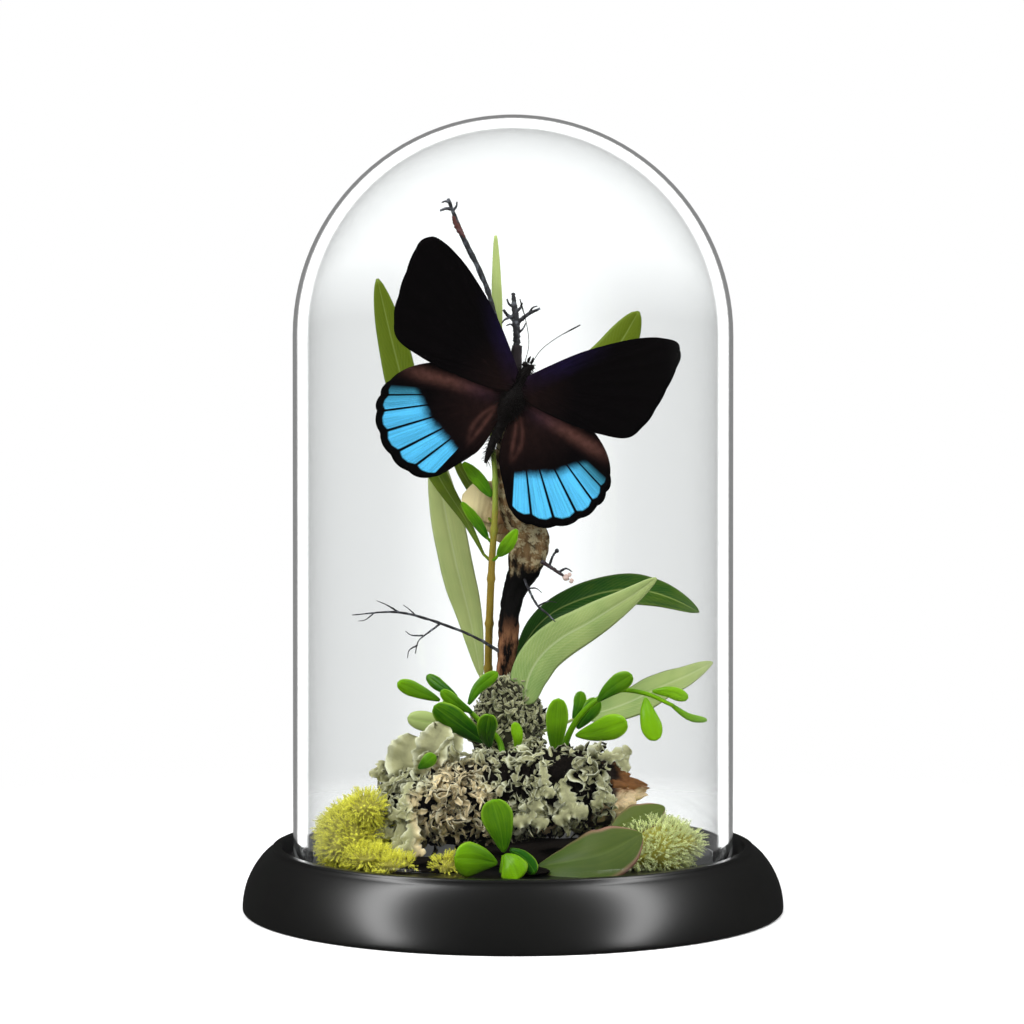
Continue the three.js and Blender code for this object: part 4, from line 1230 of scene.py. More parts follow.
def polar_wing(outline, root, side, depth, vein_angles, pleat, notch):
    """A thin closed wing. Its chart holds the cell that a point lies in and, across the band, the
    share from the band's inner edge (0) to its outer edge (1)."""
    root = np.array(root, float)
    margin, _ = smooth_line([(x, 0, z) for x, z in outline], WING_STEPS)
    margin = margin[:, [0, 2]]
    angles = np.degrees(np.unwrap(np.arctan2(margin[:, 1] - root[1], margin[:, 0] - root[0])))
    falling = np.minimum.accumulate(angles)
    starts = np.linspace(0, WING_STEPS, WING_RAYS).astype(int)
    rays = sorted({round(falling[i], 3) for i in starts}, reverse=True)
    for vein in vein_angles:
        rays += [vein + lean for lean in (-1.2, -0.55, 0, 0.55, 1.2) if rays[-1] < vein + lean < rays[0]]
    rays = np.array(sorted(set(rays), reverse=True))
    places = np.interp(-rays, -falling, np.arange(len(margin)))
    edge = np.column_stack([np.interp(places, np.arange(len(margin)), margin[:, k]) for k in (0, 1)])
    scallop = 1 + notch * (np.abs(np.sin(math.pi * cell_of(rays, vein_angles))) ** 0.7 - 0.5)
    rows = np.linspace(0, 1, WING_ROWS)[1:]
    flat = root + (edge[:, None, :] - root) * (rows[None, :, None] * scallop[:, None, None])
    reach = np.linalg.norm(flat - root, axis=2)
    cells = np.repeat(cell_of(rays, vein_angles)[:, None], len(rows), axis=1)
    inner = np.interp(-rays, -np.array(BAND_ANGLES), BAND_INNER)[:, None]
    outer = np.interp(-rays, -np.array(BAND_ANGLES), BAND_OUTER)[:, None]
    share = (reach - inner) / (outer - inner)
    gaps = np.interp(-rays, -np.array(vein_angles[1:]), -np.diff(vein_angles))[:, None]
    off_vein = np.abs(cells - np.round(cells)) * gaps
    ridge = 0.12 * np.exp(-((np.radians(off_vein) * reach / 0.28) ** 2))
    swell = pleat * np.sin(math.pi * cells) ** 2 * np.clip(reach / 25, 0, 1)
    bend = depth - WING_BEND * (flat[:, :, 0] / WING_SPAN) ** 2
    half = np.broadcast_to(0.1 * (1 - rows**6), reach.shape)
    count_rays, count_rows = len(rays), len(rows)
    points, chart, under, spans, index = [], [], [], [], {}

    def put(key, x, y, z, u, v, low):
        index[key] = len(points)
        points.append((side * x, y, z))
        chart.append((u, v))
        spans.append((x / SPAN_UNIT, z / SPAN_UNIT))
        under.append(low)

    put("root", root[0], depth, root[1], 0, -1, 0)
    for i in range(count_rays):
        for j in range(count_rows):
            on_rim = j == count_rows - 1 or i in (0, count_rays - 1)
            for layer in ((0,) if on_rim else (0, 1)):
                lift = -ridge[i, j] - half[i, j] if layer == 0 else half[i, j] - ridge[i, j] * 0.4
                lift = 0 if on_rim else lift
                x, z = flat[i, j]
                put((i, j, layer), x, bend[i, j] - swell[i, j] + lift, z, cells[i, j], share[i, j], layer)
            if on_rim:
                index[i, j, 1] = index[i, j, 0]
    faces = []
    for layer in (0, 1):
        for i in range(count_rays - 1):
            fan = [index["root"], index[i, 0, layer], index[i + 1, 0, layer]]
            faces.append(fan if layer == 0 else fan[::-1])
            for j in range(count_rows - 1):
                corners = ((i, j), (i, j + 1), (i + 1, j + 1), (i + 1, j))
                quad = [index[(*corner, layer)] for corner in corners]
                faces.append(quad if layer == 0 else quad[::-1])
    if side < 0:
        faces = [face[::-1] for face in faces]
    points, chart, under, spans = (np.array(values, float) for values in (points, chart, under, spans))
    return Shape(points, faces, chart, under), spans


def placed(shape, settings):
    """Moves a shape from the butterfly's own frame to its place."""
    turn = Matrix.Rotation(settings.butterfly.lean, 3, "Y")
    points = shape.points @ np.array(turn).T + np.array(settings.butterfly.centre) / MM
    return shape._replace(points=points)


def wing_marks(kind, x, z):
    """How brown a wing is at each point, and how strong its painted violet sheen, given in mm from the body's
    middle.
    """
    if kind == "forewing":
        along = (z - 4) * 0.62 + x * 0.55  # the front edge runs up and out
        off = (z - 4) * 0.66 - x * 0.75
        # a painted violet sheen along the forewing's front edge near the root
        violet = np.clip((off + 5.5) / 4, 0, 1) * np.clip(1 - np.abs(along - 9) / 12, 0, 1)
        return 0.1 * np.clip(1 - np.hypot(x, z) / 16, 0, 1), violet
    # a painted violet sheen on the front part of the hindwing near the root
    violet = 0.5 * np.exp(-(((x - 9) / 5) ** 2) - ((z + 3) / 2) ** 2)
    front = np.exp(-(((z + 1.2 + 0.17 * x) / 1.7) ** 2))
    front = front * np.clip((x - 3) / 8, 0, 1) * np.clip((31 - x) / 7, 0, 1)
    fold = 2.6 + 0.24 * np.clip(-z - 4, 0, 20)
    reach = np.clip((-z - 3) / 4, 0, 1) * np.clip((18 + z) / 5, 0, 1)
    loop = fold + 2.2 * np.sin(np.clip((-z - 4) / 14, 0, 1) * math.pi)
    folds = np.exp(-(((x - fold) / 0.6) ** 2)) + 0.8 * np.exp(-(((x - loop) / 0.6) ** 2))
    haze = 0.14 * np.clip(1 - np.hypot(x - 4, z + 6) / 17, 0, 1)
    return 0.8 * front + 0.5 * folds * reach + haze, violet


class INSECTDOME_OT_butterfly(PieceOperator):
    """Shape the butterfly's wings, body and antennae"""

    bl_idname = "insect_dome.butterfly"
    bl_label = "Butterfly"

    def make(self, settings):
        scales = wing_material(settings.butterfly)
        for suffix, side in (("left", -1), ("right", 1)):
            for kind, outline, root, depth, veins, notch in (
                ("forewing", FOREWING, FOREWING_ROOT, FOREWING_Y, FOREWING_VEINS, 0.006),
                ("hindwing", HINDWING, HINDWING_ROOT, HINDWING_Y, HINDWING_VEINS, 0.018),
            ):
                if kind == "forewing":
                    wide, tall = FOREWING_STRETCH[side]
                    outline = [(x * wide, z * tall) for x, z in outline]
                wing, spans = polar_wing(outline, root, side, depth, veins, 0.25, notch)
                if kind == "forewing":
                    wing.chart[:, 1] = NO_BAND
                # the second mark is a painted violet sheen
                warm, violet = wing_marks(kind, *(spans * SPAN_UNIT).T)
                marks = {"warm": [np.clip(warm, 0, 1)], "violet": [np.clip(violet, 0, 1)]}
                made = build(f"{kind}_{suffix}_scales", [placed(wing, settings)], scales, **marks)
                corners = np.empty(len(made.data.loops), int)
                made.data.loops.foreach_get("vertex_index", corners)
                layer = made.data.uv_layers.new(name="span")
                layer.data.foreach_set("uv", spans[corners].astype(np.float32).ravel())
                keep(made, "wing", f"{kind}_{suffix}")
        skin = insect_material()

        def rings(angle, t):
            segment = 0.06 * math.cos(math.tau * t * 17) if t < 0.5 else 0.0
            return segment + 0.05 * wobble(2 * math.cos(angle), 2 * math.sin(angle), 9 * t)

        body = tube(BODY_LINE, BODY_RADII, 20, 90, relief=rings)
        parts = [body]
        for side in (-1, 1):
            parts.append(ball((0.3 + side * 0.95, -0.7, 7.5), (0.75, 0.75, 0.8)))
            palp = [(0.3 + side * x, y, z) for x, y, z in PALP]
            parts.append(tube(palp, (0.35, 0.4, 0.12), 8, 8))
        parts = [placed(part, settings) for part in parts]
        along = body.chart[:, 1]
        fur = np.where(along > 0.5, 1.0, np.where(along > 0.02, 0.35, 0))
        ground = build("butterfly_skin", parts, skin, growth=[fur, 0, 0, 0, 0])
        hairs = [
            tube(((0, 0, -0.1), (bend * 0.4, 0, tall / 2), (bend, 0, tall)), (0.07, 0.05, 0.01), 3, 3)
            for bend, tall in ((0.7, 1.3), (1.2, 1.5), (0.5, 1.0))
        ]
        grow(ground, hairs, Spacing=0.16 * MM, Density=9e6, Smallest=0.6, Largest=1.3, Stray=0.5, Seed=5,
             **{"Growth direction": (-0.3, 0.0, -1.0)})
        keep(ground, "insect", "butterfly_body")
        for suffix, side in (("left", -1), ("right", 1)):
            path = [(side * x, y, z) for x, y, z in FEELER]
            feeler = tube(path, (0.12, 0.09, 0.09, 0.09, 0.09, 0.1, 0.2, 0.15), 8, 60,
                          relief=lambda angle, t: 0.12 * math.cos(math.tau * 34 * t))
            keep(build(f"feeler_{suffix}", [placed(feeler, settings)], skin), "insect", f"antenna_{suffix}")


def leaf_half(width, belly):
    """Half a long leaf's width along it."""
    return lambda t: LEAF_END + (width / 2 - LEAF_END) * max(0.0, math.sin(math.pi * t**belly)) ** 0.7


def spoon_half(width):
    """Half the width of a spoon-shaped leaf: a narrow stalk and a broad round end."""

    def half(t):
        if t > SPOON_BELLY:
            past = (t - SPOON_BELLY) / (1 - SPOON_BELLY)
            return LEAF_END / 2 + (width / 2) * math.sqrt(max(0.0, 1 - past**2))
        rise = t / SPOON_BELLY
        return LEAF_END + (width / 2 - LEAF_END / 2) * rise**0.85 * (1.35 - 0.35 * rise)

    return half


def lobe_half(width, shares):
    """Half a lobe's width along it, with shares of the greatest width from its foot to its tip."""
    return lambda t: width / 2 * spread(shares, t)


def leaf_finishes(leaves):
    """The leaf materials by kind of leaf, made once. Each has its name, its main colour, the colours
    of its deep parts, its veins and its margin, its roughness, its side veins and their shares."""
    kinds = {
        "dark_leaf": (
            "Pressed dark leaf", leaves.dark, ("#1b4a04", "#a9bb68", "#8ba546"), 0.42, 30.0, (0.4, 0.12, 0.3),
        ),
        "pale_leaf": (
            "Dried pale leaf", leaves.pale, ("#86a25a", "#d3dcb0", "#c9d69f"), 0.55, 34.0, (0.4, 0.2, 0.4),
        ),
        "young_leaf": (
            "Pressed young leaf", leaves.young, ("#8fb045", "#dbe5ae", "#cfe08c"), 0.5, 20.0, (0.3, 0.1, 0.4),
        ),
        "thick_leaf": (
            "Thick leaf with a red margin", leaves.thick, ("#3d5520", "#7d9048", "#b98478"), 0.4, 8.0,
            (0.15, 0.0, 0.9),
        ),
        "bright_leaf": (
            "Moulded plastic sprig leaf", leaves.bright, ("#205a02", "#86c22a", "#a9d83a"), 0.3, 12.0,
            (0.25, 0.0, 0.6),
        ),
    }
    return {
        kind: bpy.data.materials.get(name) or leaf_material(name, main, *map(srgb, codes), *more)
        for kind, (name, main, codes, *more) in kinds.items()
    }


class INSECTDOME_OT_long_leaves(PieceOperator):
    """Shape the tall plant's stem and leaves, and the long and broad leaves"""

    bl_idname = "insect_dome.long_leaves"
    bl_label = "Long Leaves"

    def make(self, settings):
        finishes = leaf_finishes(settings.leaves)
        thick = settings.leaves.thickness / MM

        def joints(angle, t):
            return 0.3 * math.exp(-(((t * 9) % 1 - 0.5) / 0.06) ** 2)

        stem = tube(TALL_STEM, (1.1, 1.1, 1, 1, 0.9, 0.7, 0.6), 14, 120, relief=joints)
        keep(build("tall_stem_moulded", [stem], stem_material(settings.leaves)), "stem", "tall_stem")
        for i, (name, leaf) in enumerate({**TALL_LEAVES, **LONG_LEAVES, **BROAD_LEAVES}.items()):
            shape = blade(
                leaf.path, leaf_half(leaf.width, leaf.belly), 48, leaf.facing, thick,
                cup=-0.12, fold=0.1, rib=0.16, ruffle=0.07, ragged=0.04, seed=3.7 * i, waves=4,
            )
            shapes = [shape]
            if name in STALKS:
                shapes.append(tube(STALKS[name], (0.5, 0.4, 0.35), 10, 12))
            tones = [leaf.tone] * len(shapes)
            keep(build(name + "_blade", shapes, finishes[leaf.finish], tones), SLOTS[name], name)


class INSECTDOME_OT_sprigs(PieceOperator):
    """Shape the three small moulded sprigs"""

    bl_idname = "insect_dome.sprigs"
    bl_label = "Sprigs"

    def make(self, settings):
        finish = leaf_finishes(settings.leaves)["bright_leaf"]
        for sprig, (stem, leaves) in SPRIGS.items():
            shapes = [tube(stem, (0.9, 0.7, 0.5), 10, 30)]
            tones = [0.6]
            nodes = [f"{sprig}_stem"]
            for i, (path, width) in enumerate(leaves):
                shapes.append(blade(
                    path, spoon_half(width), 34, FRONT, 0.9, cup=-0.22, fold=0.1,
                    rib=0.15, ruffle=0.05, seed=5.1 * i, waves=3,
                ))
                tones.append(SPRIG_TONES[sprig][i])
                nodes.append(f"{sprig}_leaf_{i + 1}")
            for path, width, tone in LOOSE_LEAVES.get(sprig, ()):
                shapes.append(blade(path, spoon_half(width), 20, FRONT, 0.6, cup=-0.3, fold=0.1, rib=0.12))
                tones.append(tone)
            keep(build(sprig + "_moulded", shapes, finish, tones), "bright_leaf", *nodes)


def lobe(size, width, arch, curl, seed, tip=0.7):
    """A small lichen lobe that starts in the ground and arches along +X."""
    path = [
        (-0.4 * size, 0, -0.8), (0.15 * size, 0, 0.5 + arch * 0.4), (0.6 * size, 0, 0.4 + arch),
        (size, 0, 0.3 + arch * tip),
    ]
    return blade(
        path, lobe_half(width, (0.35, 0.7, 0.85, 1.0, 1.15, 1.0, 0.45)), 7, UP, 0.3, cup=curl,
        ruffle=0.75, ragged=0.35, seed=seed, waves=3.2, columns=LOBE_COLUMNS,
    )


def frill(length, height, curl, seed):
    """A lichen lobe on edge: a wavy ribbon that stands in the crust and rolls over at its top."""
    path = [
        (length * (t - 0.5), 0.28 * length * math.sin(7 * t + seed) + 0.3 * wobble(seed, 3 * t, 0), 0)
        for t in np.linspace(0, 1, 7)
    ]
    levels = np.array([0, 0.45, 0.8, 1])
    thick = 0.2 * (1 - 0.4 * levels)
    # the ribbon's foot takes the dark crust colour as painted shade
    dark = np.clip(1.3 - 2.2 * levels, 0, 1)

    def outline(t):
        tall = height * (0.15 + math.sin(math.pi * t) ** 0.5) * (1 + 0.4 * wobble(seed + 5, 4 * t, 1))
        roll = curl * levels**2 * (0.4 + 1.3 * wobble(seed + 3, 3.5 * t, 2))
        rise = -0.8 + levels * (tall + 0.8)
        right = np.column_stack([roll + thick, rise, 0.5 + levels / 2, dark])
        left = np.column_stack([roll - thick, rise, 0.5 + levels / 2, dark])
        return np.vstack([right, left[::-1]])

    return sweep(path, outline, 15, UP)


FRILLS = [
    frill(5, 1.6, 1.3, 0.4), frill(3.6, 1.3, 1.6, 1.9), frill(6, 1.9, 1.1, 3.2), frill(4.2, 2.1, 1.5, 4.4),
    frill(5.2, 1.2, 1.9, 5.7),
]
LOBES = [
    lobe(2.3, 1.3, 1.0, 0.6, 1.0), lobe(1.6, 1.1, 1.5, 0.9, 2.3, 1.3), lobe(2.8, 1.5, 0.7, 0.5, 3.1, 0.1),
    lobe(1.5, 1.0, 1.7, -0.7, 4.7, 1.4), lobe(1.9, 1.7, 1.2, 0.8, 5.9, 0.9),
    lobe(1.6, 0.9, 1.2, 1.1, 6.6, 1.3),
]


def log_crust(start, end):
    """The crust on the log's top and front between two places on its length."""
    run = np.subtract(LOG_TO, LOG_FROM)
    path = [np.array(LOG_FROM) + run * t + (0, -1, 4 * t - 0.5) for t in (start, (start + end) / 2, end)]

    def relief(angle, t):
        x, y = 2 * math.cos(angle), 2 * math.sin(angle)
        coarse = 0.1 * wobble(x, y, 4 * t + 10 * start)
        return coarse + 0.07 * wobble(4 * x, 4 * y, 22 * t + 10 * start)

    radii = spread(CRUST_RADII, np.linspace(start, end, 9))
    return tube(path, radii, 90, 56, facing=UP, relief=relief)


HANGING_LOBES = {
    # large lobes on the log's ends: a line and the greatest width
    "lichen_left": (
        (((-30, -21, 32), (-31.5, -25, 27), (-32.5, -26.5, 21.5)), 3.4),
        (((-27, -23, 29), (-27.5, -27, 24), (-28, -28, 18)), 3.6),
        (((-25, -25, 29), (-24.8, -28.5, 23.5), (-25.6, -29.5, 17.4)), 4.0),
        (((-29.5, -20, 36), (-31.5, -23.5, 32), (-32, -25.5, 27)), 3.4),
        (((-30, -16, 33), (-32.4, -17.5, 35.5), (-34.4, -17.5, 38.2)), 2.8),
        (((-25.5, -22.5, 35), (-26.5, -26, 31.5), (-27.5, -27.5, 26.5)), 3.6),
    ),
    "lichen_right": (
        (((7.4, -23, 40.6), (7.6, -26, 36.5), (7.2, -27, 32)), 3.4),
        (((12, -24, 36), (13.6, -26.5, 31.5), (14.6, -26.5, 26.5)), 5.0),
        (((6.5, -25, 34.5), (5, -27.5, 29.5), (4.2, -27.5, 25)), 5.0),
        (((19, -19, 40.4), (24, -20, 41.6), (29, -20, 40.4)), 3.4),
        (((20, -22.5, 38), (22, -24.5, 34.5), (22.5, -24.8, 30)), 3.2),
    ),
}
CUP_LOBES = (
    # the tall grey and cream lobes behind the log's left end
    (((-26, -15, 33.5), (-27.4, -17, 39.5), (-25, -15.5, 46)), 9, 1.5),
    (((-22, -16, 37), (-20.4, -18.4, 43), (-17.4, -16.6, 48.8)), 8.5, 1.0),
    (((-18.5, -16.5, 38), (-15.8, -18.5, 42.5), (-13.6, -17.5, 46.2)), 5.5, 0.9),
    (((-23.5, -18.5, 36.5), (-22.4, -21, 39.6), (-20.6, -21, 42.4)), 4, 1.1),
)


def forked(path, width, seed, facing, steps, columns):
    """A flat lichen lobe that forks, with wavy light-catching edges."""
    middle, tip = (np.array(place, float) for place in path[1:])
    straps = [(path, width)]
    for lean in (-1, 1):
        end = tip + np.cross(unit(tip - middle), facing) * lean * width * 0.85 + (tip - middle) * 0.1 * lean
        straps.append(((middle, (middle + tip) / 2 + 0.4 * unit(facing), end), width * 0.75))
    return joined([
        blade(line, lobe_half(wide, (0.5, 0.6, 0.7, 0.85, 1.15, 1.2, 0.7)), steps, facing, 0.3,
              cup=-0.5, ruffle=0.8, ragged=0.4, seed=seed + k, waves=6, columns=columns)
        for k, (line, wide) in enumerate(straps)
    ])


STRAPS = [
    forked(((-0.6, 0, -0.7), (reach * 0.45, 0, 0.9), (reach, 0, 0.6)), width, seed, UP, 9, LOBE_COLUMNS)
    for reach, width, seed in ((4.4, 2.2, 0.3), (3.6, 2.0, 1.8), (5.2, 2.4, 3.3))
]
# What grows on each part of the crust: where it starts and ends on the log, how much it covers,
# how uneven that is, how bare the top is, and the spacing in mm of straps, frills and small lobes
CRUSTS = {
    "lichen_left": (0.04, 0.3, 0.66, 0.5, 0.1, (3.0, 2.2, 1.5)),
    "lichen_middle": (0.31, 0.58, 0.5, 0.9, 0.6, (0, 1.8, 1.35)),
    "lichen_right": (0.59, 0.86, 0.42, 1.2, 0.3, (3.4, 2.2, 1.6)),
}
# Dark lumps in front of and under the log, as painted shadow: centre and half sizes
SHADOW_LUMPS = {
    "lichen_left": (((-20, -32, 15.4), (10, 6, 2.2)),),
    "lichen_right": (((12, -24, 17), (17, 9, 4)), ((3.6, -37, 15.4), (4.6, 6, 1.2))),
}


class INSECTDOME_OT_lichen(PieceOperator):
    """Grow the lichen over the log and the branch's foot"""

    bl_idname = "insect_dome.lichen"
    bl_label = "Lichen"

    def make(self, settings):
        lichen = settings.lichen
        finish = lichen_material(lichen)
        inputs = {
            "Spacing": lichen.spacing, "Density": 2.4e6, "Smallest": lichen.smallest,
            "Largest": lichen.largest, "Stray": 1.0, "Growth direction": (-0.15, -0.3, -0.8),
        }
        for i, (node, (start, end, cover, gaps, bare, spacings)) in enumerate(CRUSTS.items()):
            # the crust is nearly black all over, as painted shade in the gaps, under the lobes and under the
            # log
            crust = darkened(log_crust(start, end))
            large = [
                forked(path, width, 2.9 * k, (0, -1, 0.3), 22, TOP_COLUMNS)
                for k, (path, width) in enumerate(HANGING_LOBES.get(node, ()))
            ]
            # the log's underside stays bare, and dark gaps open between the lobes; the black crust shows
            # there as painted shade
            share = np.clip((crust.points[:, 2] - 19) / 5, 0.05, 1)
            share = share * (1 - bare * np.clip((crust.points[:, 2] - 37.5) / 3, 0, 1))
            share = share * (cover + gaps * np.array([wobble(*(p / 3.2)) for p in crust.points]))
            # nearly black lumps that stand for the shadow under and in front of the log
            shadow_lumps = [
                darkened(ball(centre, half, rough=0.5, seed=k, rings=22, sides=34))
                for k, (centre, half) in enumerate(SHADOW_LUMPS.get(node, ()))
            ]
            for shadow_lump in shadow_lumps:
                shadow_lump.points[:, 2] = np.maximum(shadow_lump.points[:, 2], LYING)
            growth = [np.clip(share, 0, 1)] + [0] * (len(large) + len(shadow_lumps))
            tones = [0.2] + [0.7 + 0.12 * (k % 3) for k in range(len(large))] + [0.2] * len(shadow_lumps)
            ground = build(node + "_lobes", [crust, *large, *shadow_lumps], finish, tones, growth=growth)
            for k, (kind, spacing) in enumerate(zip((STRAPS, FRILLS, LOBES), spacings)):
                if spacing:
                    grow(ground, kind, Seed=lichen.seed + 10 * k + i, **{**inputs, "Spacing": spacing * MM})
            keep(ground, "lichen", node)

        def relief(angle, t):
            return 0.12 * wobble(2 * math.cos(angle), 2 * math.sin(angle), 5 * t)

        # the foot's crust is nearly black as painted shade, and fewer lobes grow low down so that it shows
        # there as painted shadow behind the log
        foot = darkened(tube(FOOT_CRUST, (8.3, 9, 8, 4.8), 30, 20, relief=relief), 0.85)
        share = np.clip((foot.points[:, 2] - 38) / 8, 0.3, 0.95)
        ground = build("lichen_foot_lobes", [foot], finish, [0.2], growth=[share])
        grow(ground, LOBES, Seed=lichen.seed + 27, **{
            **inputs, "Growth direction": (0.0, -0.2, 0.4), "Stray": 1.4, "Spacing": 0.85 * MM,
            "Smallest": 0.4, "Largest": 0.75,
        })
        keep(ground, "lichen", "lichen_foot")

        cup = [
            blade(path, lobe_half(width, (0.5, 0.85, 1, 1.05, 1, 0.85, 0.4)), 34, FRONT, 0.35,
                  cup=0.5, ruffle=0.35, ragged=0.16, seed=4.3 * i + 2, waves=7)
            for i, (path, width, _) in enumerate(CUP_LOBES)
        ]
        # the core is nearly black as painted shade
        core = darkened(tube(CUP, (3, 3.4, 2), 16, 10, relief=relief))
        growth = [np.clip((43 - core.points[:, 2]) / 4, 0, 0.8), 0, 0.12, 0.12, 0.12]
        tones = [0.2] + [tone for *_, tone in CUP_LOBES]
        ground = build("lichen_cup_lobes", [core, *cup], finish, tones, growth=growth)
        grow(ground, LOBES, Seed=lichen.seed + 9, **{**inputs, "Growth direction": (0.1, -0.1, 1.0)})
        keep(ground, "lichen", "lichen_cup")


def shoot(tall, seed):
    """A moss shoot along +Z with small leaflets; under is 1 at its root and 0 at its tip."""
    lean = np.array([0.3 * math.sin(seed), 0.3 * math.cos(seed), 0])
    leaflets = [(np.array([0, 0, -0.4]), lean + (0, 0, tall), 0.09)]
    for k in range(11):
        angle = 2.4 * k + seed
        foot = lean * (0.25 + 0.07 * k) + (0, 0, tall * (0.25 + 0.065 * k))
        out = np.array([math.cos(angle), math.sin(angle), 1.1])
        leaflets.append((foot, foot + out * (0.62 - 0.03 * k), 0.11))
    points, faces = [], []
    for foot, tip, half in leaflets:
        across = unit(np.cross(tip - foot, (0.3, 0.2, 1.0)))
        count = 4 * len(points)
        over = foot + np.cross(across, unit(tip - foot)) * half
        points.append(np.array([foot + across * half, foot - across * half, over, tip]))
        faces += [(count, count + 2, count + 1), (count + 1, count + 3, count)]
        faces += [(count + 2, count + 3, count + 1), (count, count + 3, count + 2)]
    points = np.vstack(points)
    # under carries painted shade, strongest at the root
    under = np.clip(1 - points[:, 2] / (0.4 * tall), 0, 1)
    return Shape(points, faces, np.zeros((len(points), 2)), under)


class INSECTDOME_OT_moss(PieceOperator):
    """Grow the two tufts of preserved moss"""

    bl_idname = "insect_dome.moss"
    bl_label = "Moss"

    def make(self, settings):
        moss = settings.moss
        shoots = [shoot(tall, seed) for tall, seed in ((2.6, 0.4), (3.1, 1.7), (2.2, 3.1), (2.8, 4.6))]
        tufts = (
            ("moss_left", "moss", "Preserved moss, yellow-green", moss.left, (
                ((-39.7, -21, 21), (6.4, 9.5, 8)), ((-36.3, -27, 29), (3.4, 3.4, 3.2)),
                ((-35, -31, 17), (5, 5, 2.4)), ((-29, -34, 16), (4.5, 3.5, 1.6)),
                ((-16.5, -36, 15.6), (2.6, 2.4, 2)),
            )),
            ("moss_right", "pale_moss", "Preserved moss, pale green", moss.right, (
                ((34.5, -22, 18.5), (9, 10.5, 7)), ((27, -30, 17), (7, 4, 2.5)),
            )),
        )
        for i, (node, slot, name, tip, lumps) in enumerate(tufts):
            finish = moss_material(name, tip, moss.depth)
            # the lumps under the shoots take the root colour as painted shade
            shapes = [
                darkened(ball(centre, half, rough=0.16, seed=k, rings=20, sides=28))
                for k, (centre, half) in enumerate(lumps)
            ]
            for shape in shapes:
                shape.points[:, 2] = np.maximum(shape.points[:, 2], LYING)
            growth = [shape.points[:, 2] > LYING + 0.1 for shape in shapes]
            ground = build(node + "_shoots", shapes, finish, growth=growth)
            grow(ground, shoots, Spacing=moss.spacing, Density=8e6, Smallest=0.55, Largest=1.15, Stray=1.0,
                 Seed=moss.seed + i, **{"Growth direction": (0.0, 0.0, 1.0)})
            keep(ground, slot, node)


def paper_material(colour):
    """Matt studio paper that fades out round the object. The glass and the lacquer don't mirror it."""
    material, tree, place = new_material("Matt studio paper")
    away = add(tree, "VectorMath", [place], operation="LENGTH")
    fade = add(tree, "MapRange", {
        "Value": away, "From Min": 0.13, "From Max": 0.32,
    }, interpolation_type="SMOOTHSTEP")
    fibre = add(tree, "TexNoise", {"Vector": place, "Scale": 1 / (3 * MM)})
    paper = add(tree, "Mix", {"Factor": fibre, MIX_A: colour, MIX_B: srgb("#f6f6f6")}, data_type="RGBA")
    matt = add(tree, "BsdfDiffuse", {"Color": paper})
    clear = add(tree, "BsdfTransparent")
    bounces = add(tree, "LightPath").outputs["Glossy Depth"]
    mirrored = add(tree, "Math", [bounces, 0.5], operation="GREATER_THAN")
    hidden = add(tree, "Math", [fade, mirrored], operation="MAXIMUM")
    sheet = add(tree, "MixShader", [hidden, matt, clear])
    add(tree, "OutputMaterial", {"Surface": sheet})
    return material


def studio_world(stage):
    """White all round for the eye, a pale backdrop with darker sides through the glass, and little
    but a ring of light for what the glass and the lacquer mirror."""
    world = bpy.data.worlds.new("studio")
    world.use_nodes = True
    tree = world.node_tree
    tree.nodes.clear()
    path = add(tree, "LightPath").outputs
    bounced, mirrored, through = (
        add(tree, "Math", [path[f"{kind} Depth"], 0.5], operation="GREATER_THAN")
        for kind in ("Diffuse", "Glossy", "Transmission")
    )
    generated = add(tree, "TexCoord").outputs["Generated"]
    right, back, up = add(tree, "SeparateXYZ", [generated]).outputs
    behind = add(tree, "MapRange", {
        "Value": back, "From Min": -0.1, "From Max": 0.6, "To Min": 0.03, "To Max": 0.3,
    }, interpolation_type="SMOOTHSTEP")
    # a soft ring of light behind, which the glass mirrors just inside its outline
    ring = add(tree, "Math", [back, stage.ring_place], operation="SUBTRACT")
    ring = add(tree, "Math", [ring], operation="ABSOLUTE")
    ring = add(tree, "MapRange", {
        "Value": ring, "From Min": stage.ring_width, "From Max": stage.ring_width * 0.4,
        "To Max": stage.ring_strength,
    }, interpolation_type="SMOOTHSTEP")
    # only the first wall mirrors it, and only the sharp glass mirrors what is behind
    outer = add(tree, "Math", [path["Transmission Depth"], 3.0], operation="LESS_THAN")
    ring = add(tree, "Math", [ring, outer], operation="MULTIPLY")
    behind = add(tree, "Math", [behind, ring], operation="ADD")
    behind = add(tree, "Mix", {0: path["Is Singular Ray"], 2: 0.02, 3: behind}, data_type="FLOAT")
    aside = add(tree, "Math", [right], operation="ABSOLUTE")
    sides = add(tree, "MapRange", {
        "Value": aside, "From Max": 0.08, "To Max": 0.29,
    }, interpolation_type="SMOOTHSTEP")
    # the sides darken only below the dome's round top
    low = add(tree, "MapRange", {"Value": up, "From Min": 0.12, "From Max": 0.07})
    sides = add(tree, "Math", [sides, low], operation="MULTIPLY")
    backdrop = add(tree, "Math", [1.0, sides], operation="SUBTRACT")
    backdrop = add(tree, "Math", [backdrop, stage.backlight], operation="MULTIPLY")
    strength = 1.0
    for share, over in ((through, backdrop), (mirrored, behind), (bounced, 0.45)):
        strength = add(tree, "Mix", {0: share, 2: strength, 3: over}, data_type="FLOAT")
    glow = add(tree, "Background", {"Color": (1, 1, 1, 1), "Strength": strength})
    add(tree, "OutputWorld", {"Surface": glow})
    return world


LAMPS_AIM = Vector((0, 0, 0.08))  # in metres, just below the dome's middle
